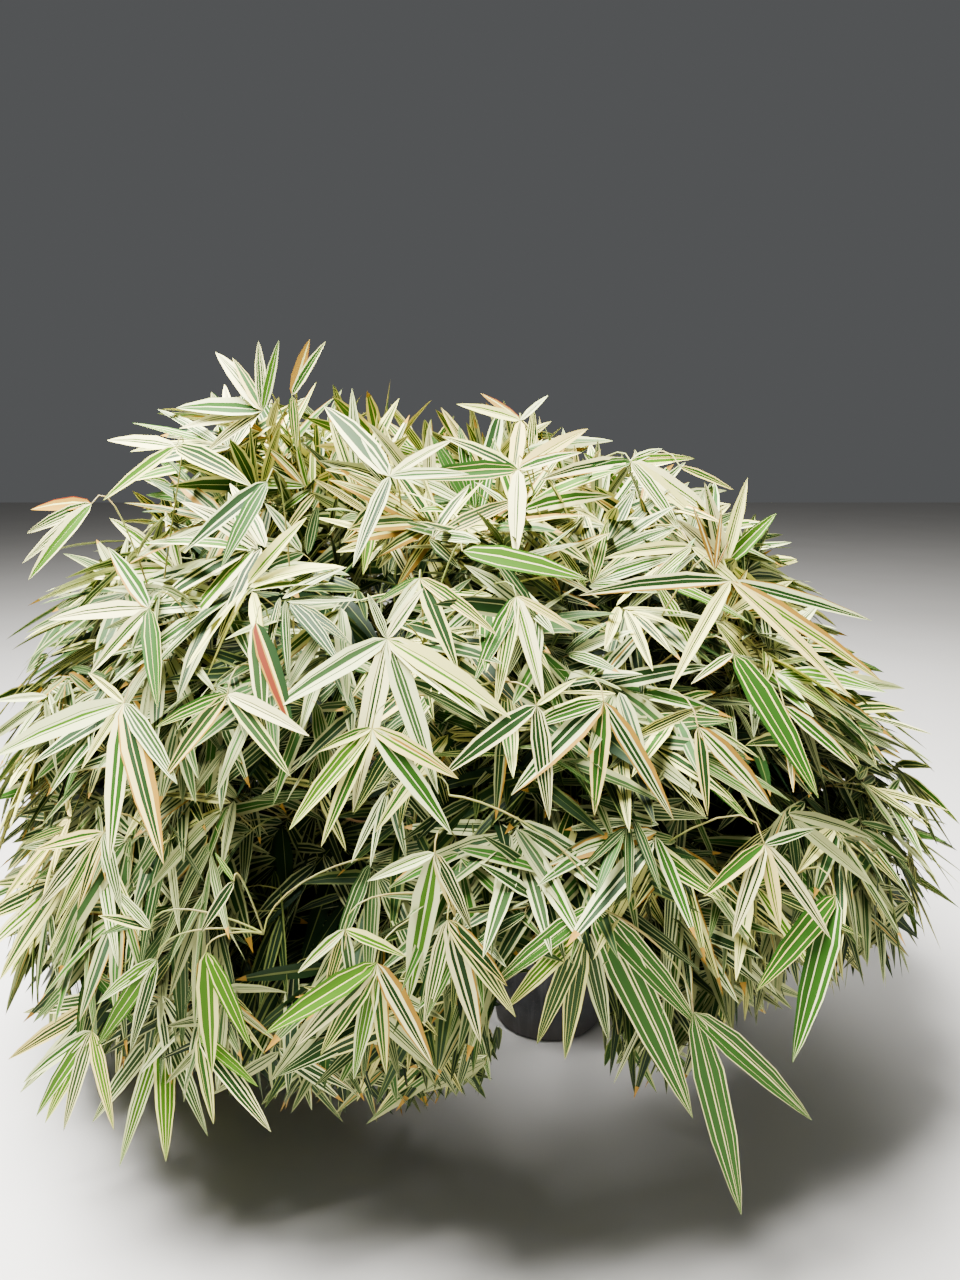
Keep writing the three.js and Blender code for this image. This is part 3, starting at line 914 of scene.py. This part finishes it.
def clearOf(points, space):
    # off the limbs and the pot, and out of the gap that the pot shows through and the other openings
    for x, y, z in points:
        if any(math.dist((x, y, z), place) < radius for place, radius in openings):
            return False
        ahead = -y - potSettings["baseRadius"]
        middle = -potView["drift"] * ahead
        ceiling = potView["height"] + potView["climb"] * ahead
        if ahead > 0 and z < ceiling and abs(x - middle) < potView["halfWidth"]:
            return False
        reach = potSettings["topRadius"] + potView["clearance"]
        if z < potSettings["height"] + potView["clearance"] and math.hypot(x, y) < reach:
            return False
        if limbSpots.find((x, y, z))[2] < space:
            return False
    return True


def fitsSpace(points, mass, slack, reach):
    return (points[:, 2].min() > crown["lowest"] and points[:, 2].max() < crown["highest"]
            and (crownShare(points) + crownHollow(points)).max() < reach and inCell(points, mass, slack))


def readStrips(text):
    parts = [(part[0], float(part[1:])) for part in text.split()]
    edges = np.concatenate([[0], np.cumsum([width for _, width in parts])])
    return [letter for letter, _ in parts], edges / edges[-1] * 2 - 1


stripLooks = {look: readStrips(strips) for look, (_, strips) in (bladeLooks | innerLooks).items()}


def pickLook(looks, draw):
    place = draw(0, sum(share for share, _ in looks.values()))
    for look, (share, _) in looks.items():
        place -= share
        if place <= 0:
            return look
    return look


def pickOne(options, draw):
    return options[int(draw(0, len(options) - 1e-6))]


def fanSlot(row, rows):
    side = 1 if row % 2 == 0 else -1
    return side * math.radians(fanSettings["spread"]) * (row + 0.5) / rows


def fanAxes(end, draw):
    # a fan lies along the crown's surface, and hangs outwards and down from its twig
    # at the crown's top the fans stand up and turn every way
    outward = crownOutward(end)
    top = max(outward[2], 0.0) ** 2
    fall = outward * outward[2] - up
    flat = np.array([outward[0], outward[1], 0.0])
    lift = draw(*fanSettings["outward"]) + fanSettings["topLift"] * top
    fall = unit(fall + flat * fanSettings["outFall"])
    direction = unit(fall + outward * lift - up * fanSettings["hang"] * (1 - top))
    turn = fanSettings["turn"] + fanSettings["topTurn"] * top
    direction = turned(direction, outward, math.radians(draw(-1, 1) * turn))
    heading = draw(0, 2 * math.pi)
    sideways = np.array([math.cos(heading), math.sin(heading), 0.0])
    faceAim = outward * (1 - top) + unit(flat) * fanSettings["faceOut"] * top
    faceAim = faceAim + up * fanSettings["faceUp"] + sideways * fanSettings["faceStray"]
    return direction, squareTo(direction, faceAim)


def pickPalette(place, draw):
    # painted shade: fans deep in the crown and low down get darker tints in place of the shade that falls
    # there
    shift = float(np.interp(place[2], fanSettings["shadeHeight"], fanSettings["shadeShift"]))
    depth = float((crownShare(place) + crownHollow(place))[0]) - shift
    if depth < draw(*fanSettings["innerShare"]):
        return innerShadeTints, innerLooks
    return shadedTints if depth < draw(*fanSettings["shadedShare"]) else outerTints, bladeLooks


def squareTo(direction, wanted):
    return unit(wanted - direction * np.dot(direction, wanted))


def growBlade(root, direction, face, mass, draw, length):
    # tries turns and lengths until a blade fits the mass's space
    sizes = bladeSettings
    for attempt in range(sizes["tries"]):
        sway = draw(*sizes["sway"]) * (1 + attempt * sizes["loosen"])
        ahead = turned(direction, face, math.radians(sway))
        side = unit(np.cross(ahead, face))
        ahead = turned(ahead, side, math.radians(draw(*sizes["lift"])))
        side = turned(side, ahead, math.radians(draw(-1, 1) * sizes["roll"]))
        long = length * (1 - sizes["shorten"] * attempt)
        sag = draw(*sizes["sag"])
        shares = np.array(sizes["tested"])[:, None]
        points = root + ahead * long * shares - up * long * sag * shares ** 2
        inSpace = fitsSpace(points, mass, sizes["cellSlack"], sizes["reach"])
        if inSpace and clearOf(points, sizes["clear"]):
            return {"root": root, "ahead": ahead, "side": side, "length": long, "sag": sag}
    return None


def dressBlade(blade, look, tints, width, twist, draw):
    letters, edges = stripLooks[look]
    blade.update({
        "width": blade["length"] * width,
        "fold": draw(*bladeSettings["fold"]),
        "twist": draw(-1, 1) * twist,
        "colours": [bladePalette.index(tints[letter]) for letter in letters],
        "edges": edges,
        "brownTip": False,
    })
    return blade


def growFan(end, direction, face, mass, draw):
    rows = int(draw(*fanSettings["leaves"]))
    choices, looks = pickPalette(end, draw)
    mainLook = pickLook(looks, draw)
    fanTints = {letter: pickOne(options, draw) for letter, options in choices.items()}
    longest = draw(*bladeSettings["length"])
    for row in range(rows):
        root = end - direction * bladeSettings["rootSpacing"] * (row + 0.5)
        length = longest * (1 - fanSettings["shorten"] * row / rows) * draw(*fanSettings["varied"])
        ahead = turned(direction, face, fanSlot(row, rows))
        blade = growBlade(root, ahead, face, mass, draw, length)
        look = mainLook if draw() < fanSettings["lookKept"] else pickLook(looks, draw)
        tints = {letter: fanTints[letter] if draw() < fanSettings["tintKept"] else pickOne(options, draw)
                 for letter, options in choices.items()}
        width = draw(*bladeSettings["widthShare"])
        if blade:
            blade = dressBlade(blade, look, tints | dryTints, width, bladeSettings["twist"], draw)
            blade["brownTip"] = draw() < bladeSettings["brownTips"]
            mass["blades"].append(blade)


twigEnds = []


def spacingOf(end):
    if not twigEnds:
        return 1.0
    return min(float(np.linalg.norm(np.array(twigEnds) - end, axis=1).min()), stickSettings["widest"])


def twigEnd(start, ahead, turn, sizes, mass, draw):
    # of the places that fit, the one that is furthest from other twigs' ends
    across = unit(np.cross(ahead, up))
    best, bestScore = None, -1.0
    firstStray, moreStray = stickSettings["stray"]
    for attempt in range(sizes["tries"]):
        spread = math.radians(draw(*sizes["spread"]))
        around = turn + math.radians(draw(-1, 1) * (firstStray + attempt * moreStray))
        direction = turned(turned(ahead, across, spread), ahead, around)
        end = start + direction * draw(*sizes["length"])
        points = start + (end - start) * np.array(stickSettings["tested"])[:, None]
        if fitsSpace(points, mass, 0.0, sizes["limit"]) and clearOf(points, fanSettings["clear"]):
            score = spacingOf(end) + stickSettings["outerBonus"] * float(crownShare(end)[0])
            if score > bestScore:
                best, bestScore = end, score
    if best is not None:
        twigEnds.append(best)
    return best


def addStick(start, end, direction, sizes, mass):
    # a twig that sets off upwards and arrives along its fan
    length = np.linalg.norm(end - start)
    early = start + unit(end - start) * length * stickSettings["setOff"] + up * length * sizes["arch"]
    late = end - direction * length * stickSettings["arrive"]
    path = bentPath([start, early, late, end], sizes["steps"])
    mass["sticks"].append(tapered(path, sizes))
    return path


def growBranch(start, ahead, number, sizes, mass, draw):
    # a twig with a fan at its end, where one fits
    end = twigEnd(start, ahead, number * goldenTurn, sizes, mass, draw)
    if end is None:
        return None
    direction, face = fanAxes(end, draw)
    path = addStick(start, end, direction, sizes, mass)
    growFan(end, direction, face, mass, draw)
    return path


def growTwigs(path, mass, draw):
    # twigs stand along a spray at even gaps, each turned from the last
    first = twigSettings["firstShare"]
    count = max(int(pathLength(path) * (1 - first) / twigSettings["gap"]), 1)
    for number in range(count):
        share = first + (1 - first) * (number + stickSettings["shareInGap"]) / count
        ahead = pathAhead(path, share, stickSettings["aheadReach"])
        growBranch(pathPoints(path, [share])[0], ahead, number, twigSettings, mass, draw)


def growMass(mass):
    draw = seededDraw(mass["seed"])
    end = mass["end"] - up * np.linalg.norm(mass["entry"] - mass["end"]) * stemSettings["fallShare"]
    stem = bentPath([mass["entry"], mass["centre"], end], stemSettings["steps"])
    mass["sticks"] = [tapered(stem, stemSettings)]
    mass["blades"] = []
    growFan(end, *fanAxes(end, draw), mass, draw)
    for number in range(spraySettings["count"]):
        share = (number + 0.5) / spraySettings["count"]
        start = pathPoints(stem, [share])[0]
        spray = growBranch(start, pathAhead(stem, share), number, spraySettings, mass, draw)
        if spray is not None:
            growTwigs(spray, mass, draw)
    growTwigs(stem, mass, draw)


# the fans that stand out at the front, each at a place across and up the crown's front
# a leaf has its angle from straight down, to the right, then its length and its look
lowBranch = (-0.54, -0.84, 0.69)
shootFoot = (-0.23, -0.83, 0.93)
shootFork = (0.0, -0.89, 0.765)


def shown(x, z, leaves, **more):
    parts = [leaf.split() for leaf in leaves.split(", ") if leaf]
    parts = [(math.radians(float(angle)), float(length), look) for angle, length, look in parts]
    return {"at": (x, z), "leaves": parts, **more}


shownFans = (
    # the centre
    shown(-0.33, 1.18, "-57 .21 twin, -9 .25 ivory, 20 .24 ivory, 52 .2 even, 58 .22 plain, -155 .09 even, "
          "146 .11 twin"),
    shown(-0.28, 1.27, "23 .16 heart, 53 .15 even, -33 .09 plain, -58 .08 green"),
    shown(-0.35, 1.05, "38 .19 heart, -22 .18 heart, -38 .19 even, -65 .09 half, 61 .15 gold"),
    shown(-0.12, 1.24, "-27 .15 green, -12 .17 even, 12 .16 ivory, 57 .11 twin"),
    shown(-0.21, 1.31, "76 .21 fresh"),
    # right of the centre
    shown(0.02, 1.08, "-73 .13 green, -48 .2 tan, -8 .17 heart, 28 .2 drying"),
    shown(-0.09, 1.08, "-54 .17 heart, 5 .16 even, 122 .08 ivory"),
    shown(0.18, 1.03, "39 .17 drying, 0 .13 heart"),
    shown(0.35, 1.04, "-9 .14 drying, 42 .16 tan"),
    # the right shoulder
    shown(0.28, 1.24, "-88 .31 tan, -44 .26 ivory, 34 .28 plain, 48 .32 drying, 70 .29 tan", width=0.1),
    shown(0.25, 1.26, "-159 .14 dry, 172 .12 dry, 150 .07 rusty", lean=0.1, width=0.08),
    shown(0.26, 1.13, "20 .25 green, -63 .1 tan"),
    shown(0.21, 1.3, "-85 .18 ivory, -56 .14 even, 40 .13 twin"),
    shown(0.3, 1.25, "160 .19 ivory, -165 .18 ivory, 126 .17 fresh, -130 .16 ivory", depth=0.42, lean=0.1),
    # low on the right
    shown(0.29, 0.84, "-59 .13 half, -27 .15 twin, 6 .13 plain, 32 .18 twin, 98 .1 half"),
    shown(0.43, 0.73, "-55 .21 green, -28 .26 green", width=0.2),
    # low at the front
    shown(-0.25, 0.87, "-10 .23 heart, 17 .1 gold, 24 .12 even, -66 .11 twin"),
    shown(-0.23, 0.77, "40 .13 tan, 33 .17 even, 14 .19 tan, -12 .16 even"),
    shown(-0.39, 0.75, "-45 .1 gold, -16 .11 even, 7 .1 heart, 67 .1 half"),
    shown(-0.34, 0.7, "-55 .21 fresh, 4 .17 tan, -11 .18 even, -30 .17 even, 27 .17 drying, -42 .18 twin"),
    shown(-0.01, 0.71, "-45 .17 even, -22 .19 even, -8 .2 even, 12 .18 even", depth=0.86, lean=0.1),
    # the left
    shown(-0.78, 1.06, "-64 .26 ivory, -26 .12 plain, 7 .23 heart, 28 .26 drying, -118 .1 plain, "
          "47 .17 even"),
    shown(-0.75, 1.21, "-132 .17 tan, -80 .2 plain, -33 .14 plain, 22 .17 green"),
    shown(-0.59, 1.09, "-63 .13 green, 44 .16 heart, -34 .16 tan, 68 .15 plain"),
    shown(-0.55, 1.2, "26 .18 rusty, 12 .16 heart"),
    shown(-0.81, 0.85, "-71 .14 gold, -38 .17 even, -24 .16 even, -13 .12 tan, 24 .12 even"),
    # low on the left, where long thin twigs part from one branch across the shade
    shown(*lowBranch[::2], "", depth=-lowBranch[1], twigFrom=(-0.36, -0.76, 0.79)),
    shown(-0.57, 0.81, "-32 .1 heart, -143 .06 fresh", twigFrom=lowBranch),
    shown(-0.62, 0.69, "27 .16 fresh, 3 .18 heart", twigFrom=lowBranch),
    shown(-0.64, 0.54, "41 .18 even, 55 .12 fresh, 10 .14 twin"),
    shown(-0.71, 0.66, "-33 .18 fresh, -15 .15 even, -50 .13 even", twigFrom=lowBranch),
    shown(-0.72, 0.71, "-128 .1 even, -95 .1 heart", twigFrom=lowBranch),
    shown(-0.86, 0.48, "-29 .17 fresh, -10 .16 even, 25 .15 even, -48 .16 twin"),
    shown(-0.9, 0.43, "-70 .2 even, -50 .23 even, -33 .23 even, -12 .22 even", depth=0.62),
    shown(-0.76, 0.44, "-30 .2 even, -8 .22 even, 14 .21 even, 38 .19 even", depth=0.72),
    shown(-1.02, 0.62, "-75 .2 twin, -55 .22 even, -36 .22 twin, -15 .2 twin", depth=0.5),
    # the top
    shown(-0.62, 1.55, "-134 .19 ivory, -143 .14 half, -92 .23 heart, -81 .22 plain, -174 .15 even, "
          "165 .15 heart, -60 .16 even", depth=0.3, lean=0.1),
    shown(-0.56, 1.58, "160 .13 dry, 143 .14 heart, 7 .1 green", depth=0.3, lean=0.1),
    shown(-0.77, 1.48, "69 .23 even, -45 .17 heart, -94 .19 plain"),
    shown(-0.56, 1.42, "-40 .18 heart, -13 .16 green"),
    shown(-0.34, 1.43, "-147 .14 ivory, -138 .22 half, 126 .14 plain, 92 .14 twin, -14 .17 even"),
    shown(-0.94, 1.37, "-63 .16 even, -39 .17 even, -22 .17 heart, -83 .17 dry"),
    shown(-0.1, 1.53, "-12 .15 plain, -107 .13 plain, 134 .09 ivory, -131 .1 dry"),
    shown(-0.11, 1.44, "-6 .17 plain, 123 .17 plain, 107 .13 tan, -84 .2 green, -118 .16 heart"),
    shown(0.12, 1.45, "-79 .21 tan, -75 .14 green, 92 .15 gold, 110 .09 heart, 46 .21 ivory, 39 .19 plain, "
          "20 .16 even"),
    shown(0.22, 1.44, "62 .12 heart", depth=0.35),
    # the young shoot with the largest leaves, which bends out over the pot
    shown(*shootFoot[::2], "", depth=-shootFoot[1]),
    shown(*shootFork[::2], "24 .37 shoot, 39 .26 shoot, -52 .19 shoot",
          depth=-shootFork[1], lean=0.06, width=0.17, twigFrom=shootFoot),
    shown(0.17, 0.575, "44 .3 shoot, 14 .37 shoot", depth=0.885, lean=0.06, width=0.14, twigFrom=shootFork),
    # deep in the shade: fans of dark leaves whose colours are painted shade
    shown(-0.55, 0.64, "-50 .24 inner, -25 .26 inner, 0 .27 inner, 25 .26 inner, 50 .24 inner",
          depth=0.42, width=0.3),
    shown(-0.38, 0.68, "-45 .25 inner, -18 .27 inner, 12 .27 inner, 40 .25 inner", depth=0.4, width=0.3),
    shown(-0.24, 0.93, "-50 .2 inner, -20 .24 inner, 10 .24 inner, 45 .2 inner", depth=0.5, width=0.3),
)
shownSettings = {
    "share": 0.98,
    "lean": ((0.6, 0.92), (0.7, 0.08)),
    "width": (0.14, 0.2),
    "sag": (0.06, 0.14),
    "twist": 0.3,
    "faceAim": (0.0, -1.0, 0.5),
    "slack": 1.02,
    "forkInward": 0.08,
}
shownTints = {
    "fresh": {"g": "freshGreen"},
    "green": {"g": "midGreen"},
    "rusty": {"g": "deepGreen"},
    "shoot": {"g": "youngGreen", "c": "ivory"},
    # painted shade for the fans deep in the shade
    "inner": {"g": "shadeGreen", "c": "deepShadeCream"},
}


def shownPlace(fan):
    # on the front of the crown, unless the fan has its own depth
    x, z = fan["at"]
    across = (x - crown["centreX"]) / crown["halfWidth"]
    height = (z - crown["waistHeight"]) / heightLimit(x - crown["centreX"], z > crown["waistHeight"])
    ahead = math.sqrt(max(shownSettings["share"] ** 2 - across ** 2 - height ** 2, 0.0))
    return np.array([x, -fan.get("depth", ahead * crown["halfDepth"]), z])


def nearestStick(place, mass):
    # where a shown fan's twig leaves its mass: near, and further in
    points = np.vstack([path for path, _ in mass["sticks"][:1 + spraySettings["count"]]])
    inner = crownShare(points) < crownShare(place)[0] - shownSettings["forkInward"]
    points = points[inner] if inner.any() else points
    return points[np.argmin(np.linalg.norm(points - place, axis=1))]


def shownBlade(foot, tip, width, look, draw):
    # a leaf from its foot to its tip, with its upper face to the front
    tints = {letter: pickOne(options, draw) for letter, options in outerTints.items()}
    length = float(np.linalg.norm(tip - foot)) * shownSettings["slack"]
    sag = draw(*shownSettings["sag"])
    ahead = unit(tip + up * length * sag - foot)
    side = unit(np.cross(ahead, squareTo(ahead, np.array(shownSettings["faceAim"]))))
    blade = {"root": foot, "ahead": ahead, "side": side, "length": length, "sag": sag}
    tints |= dryTints | shownTints.get(look, {})
    return dressBlade(blade, look, tints, width, shownSettings["twist"], draw)


def growShownFan(fan):
    place = shownPlace(fan)
    mass = min(masses, key=lambda other: np.linalg.norm(other["centre"] - place))
    draw = seededDraw(int(1000 + place[0] * 997 + place[2] * 613))
    outward = unit(np.array([place[0] - crown["centreX"], place[1], 0.0]))
    front = unit(outward - np.array([0.0, 1.0, 0.0]))
    right = unit(np.cross(up, outward) + np.array([1.0, 0.0, 0.0]))
    lean = fan.get("lean", float(np.interp(-place[1], *shownSettings["lean"])))
    fall = unit(front * lean - up)
    start = np.array(fan["twigFrom"]) if "twigFrom" in fan else nearestStick(place, mass)
    addStick(start, place, fall, spraySettings, mass)
    for turn, length, look in fan["leaves"]:
        tip = place + (fall * math.cos(turn) + right * math.sin(turn)) * length
        width = fan.get("width") or draw(*shownSettings["width"])
        mass["blades"].append(shownBlade(place, tip, width, look, draw))


def stack(blades, key):
    return np.array([blade[key] for blade in blades], float)


def bladeVertices(blades, dice):
    # all blades of one strip count at once: a bent, folded and twisted strip sheet each
    stations = np.array(bladeSettings["stations"])[None, :, None]
    breadth = np.array(bladeSettings["breadth"])[None, 1:-1, None, None]
    length, sag, twist, fold, width = (stack(blades, key)[:, None, None]
                                       for key in ("length", "sag", "twist", "fold", "width"))
    ahead, side = stack(blades, "ahead")[:, None], stack(blades, "side")[:, None]
    middle = stack(blades, "root")[:, None] + ahead * length * stations - up * length * sag * stations ** 2
    along = unit(ahead - up * 2 * sag * stations)
    side = unit(side - along * np.sum(side * along, axis=2, keepdims=True))
    turn = twist * (stations - bladeSettings["twistFrom"])
    side = side * np.cos(turn) + np.cross(along, side) * np.sin(turn)
    face = np.cross(side, along)
    edges = stack(blades, "edges")
    gaps = np.minimum(edges[:, 1:-1] - edges[:, :-2], edges[:, 2:] - edges[:, 1:-1])
    edges[:, 1:-1] += gaps * dice.uniform(-1, 1, gaps.shape) * bladeSettings["jitter"]
    edges = edges[:, None, :, None]
    half = width[..., None] / 2 * breadth
    rows = (middle[:, 1:-1, None] + side[:, 1:-1, None] * edges * half
            + face[:, 1:-1, None] * np.abs(edges) * half * fold[..., None])
    count = len(blades)
    return np.concatenate([middle[:, :1], rows.reshape(count, -1, 3), middle[:, -1:]], axis=1)


def bladeFaces(strips):
    # one blade's faces, with the strip that each lies in and whether it is at the tip
    rows = len(bladeSettings["stations"]) - 2
    wide = strips + 1
    last = 1 + rows * wide
    faces = []
    for strip in range(strips):
        faces.append(([0, 2 + strip, 1 + strip], strip, False))
        for row in range(rows - 1):
            corner = 1 + row * wide + strip
            faces.append(([corner, corner + 1, corner + 1 + wide, corner + wide], strip, False))
        corner = 1 + (rows - 1) * wide + strip
        faces.append(([corner, corner + 1, last], strip, True))
    return faces, last + 1


def bladesMesh(name, blades, seed):
    dice = np.random.default_rng(seed)
    vertices, faces, colours = [], [], []
    first = 0
    for strips in sorted({len(blade["colours"]) for blade in blades}):
        group = [blade for blade in blades if len(blade["colours"]) == strips]
        template, size = bladeFaces(strips)
        vertices.append(bladeVertices(group, dice).reshape(-1, 3))
        for blade in group:
            for corners, strip, atTip in template:
                faces.append([first + corner for corner in corners])
                brown = atTip and blade["brownTip"]
                colours.append(bladePalette.index("straw") if brown else blade["colours"][strip])
            first += size
    mesh = bpy.data.meshes.new(name)
    mesh.from_pydata(np.vstack(vertices).tolist(), [], faces)
    mesh.polygons.foreach_set("material_index", colours)
    mesh.shade_smooth()
    return mesh


def makeBladeMaterials():
    materials = []
    for name, colour in bladeColours.items():
        fixed = {"Base Color": colour, "Roughness": 0.55, "Specular IOR Level": 0.12}
        materials.append(newMaterial(f"leaf_{name}", fixed)[0])
    return materials


def makeFoliage():
    for mass in masses:
        growMass(mass)
    for fan in shownFans:
        growShownFan(fan)
    materials = makeBladeMaterials()
    for mass in masses:
        mesh = bladesMesh("leaves_" + mass["label"], mass["blades"], mass["seed"])
        for material in materials:
            mesh.materials.append(material)
        finishPiece(addObject(mesh.name, mesh), "striped_leaf", "foliage_" + mass["label"])
    leaves, twigs = (sum(len(mass[kind]) for mass in masses) for kind in ("blades", "sticks"))
    print(f"leaves: {leaves} on {twigs} twigs")
    bark = makeCaneSkin("twigSkin", 2.0)
    for tierName in tiers:
        sticks = [stick for mass in masses if mass["tier"] == tierName for stick in mass["sticks"]]
        finishPiece(growLimbs(f"twigs_{tierName}", sticks, twigSettings, bark), "twig_wood")
    print("twigs: joined by tier")


makeFoliage()


# a plain pale floor and soft studio light
studioSettings = {
    "floorSize": 40.0,
    "skyStrength": 0.12,
}
studioLamps = {
    "keyLamp": {"place": (-1.5, -0.6, 5.2), "aim": (-0.2, 0, 0.8), "size": 2.6, "power": 2750.0},
    "fillLamp": {"place": (3.2, -2.4, 2.6), "aim": (-0.2, 0, 0.7), "size": 2.6, "power": 25.0},
    "backLamp": {"place": (0.6, 3.4, 3.8), "aim": (-0.2, 0, 0.9), "size": 3.0, "power": 260.0},
}


def addLamp(name, place, aim, size, power):
    lamp = bpy.data.lights.new(name, "AREA")
    lamp.size = size
    lamp.energy = power
    away = np.array(place, float) - np.array(aim, float)
    side = unit(np.cross(up, away))
    turn = np.column_stack([side, np.cross(unit(away), side), unit(away)])
    addObject(name, lamp).matrix_world = Matrix.Translation(place) @ Matrix(turn.tolist()).to_4x4()


def makeStudio():
    half = studioSettings["floorSize"] / 2
    mesh = bpy.data.meshes.new("studioFloor")
    corners = [(-half, -half, 0), (half, -half, 0), (half, half, 0), (-half, half, 0)]
    mesh.from_pydata(corners, [], [(0, 1, 2, 3)])
    material, bench, shader = newMaterial("paleFloor", {"Roughness": 0.8})
    cloudy = bench.noise(1.2)
    feed(bench, shader, colour=bench.blend(cloudy, tone(188, 185, 179), tone(198, 195, 190)))
    mesh.materials.append(material)
    addObject("studioFloor", mesh)
    world = bpy.data.worlds.new("studio")
    world.use_nodes = True
    bench = Bench(world.node_tree)
    light = {"Color": tone(226, 229, 232), "Strength": studioSettings["skyStrength"]}
    bench.node("ShaderNodeOutputWorld", {}, {"Surface": bench.signal("ShaderNodeBackground", {}, light)})
    scene.world = world
    for name, lamp in studioLamps.items():
        addLamp(name, **lamp)
    print("studio: floor and lights")


makeStudio()
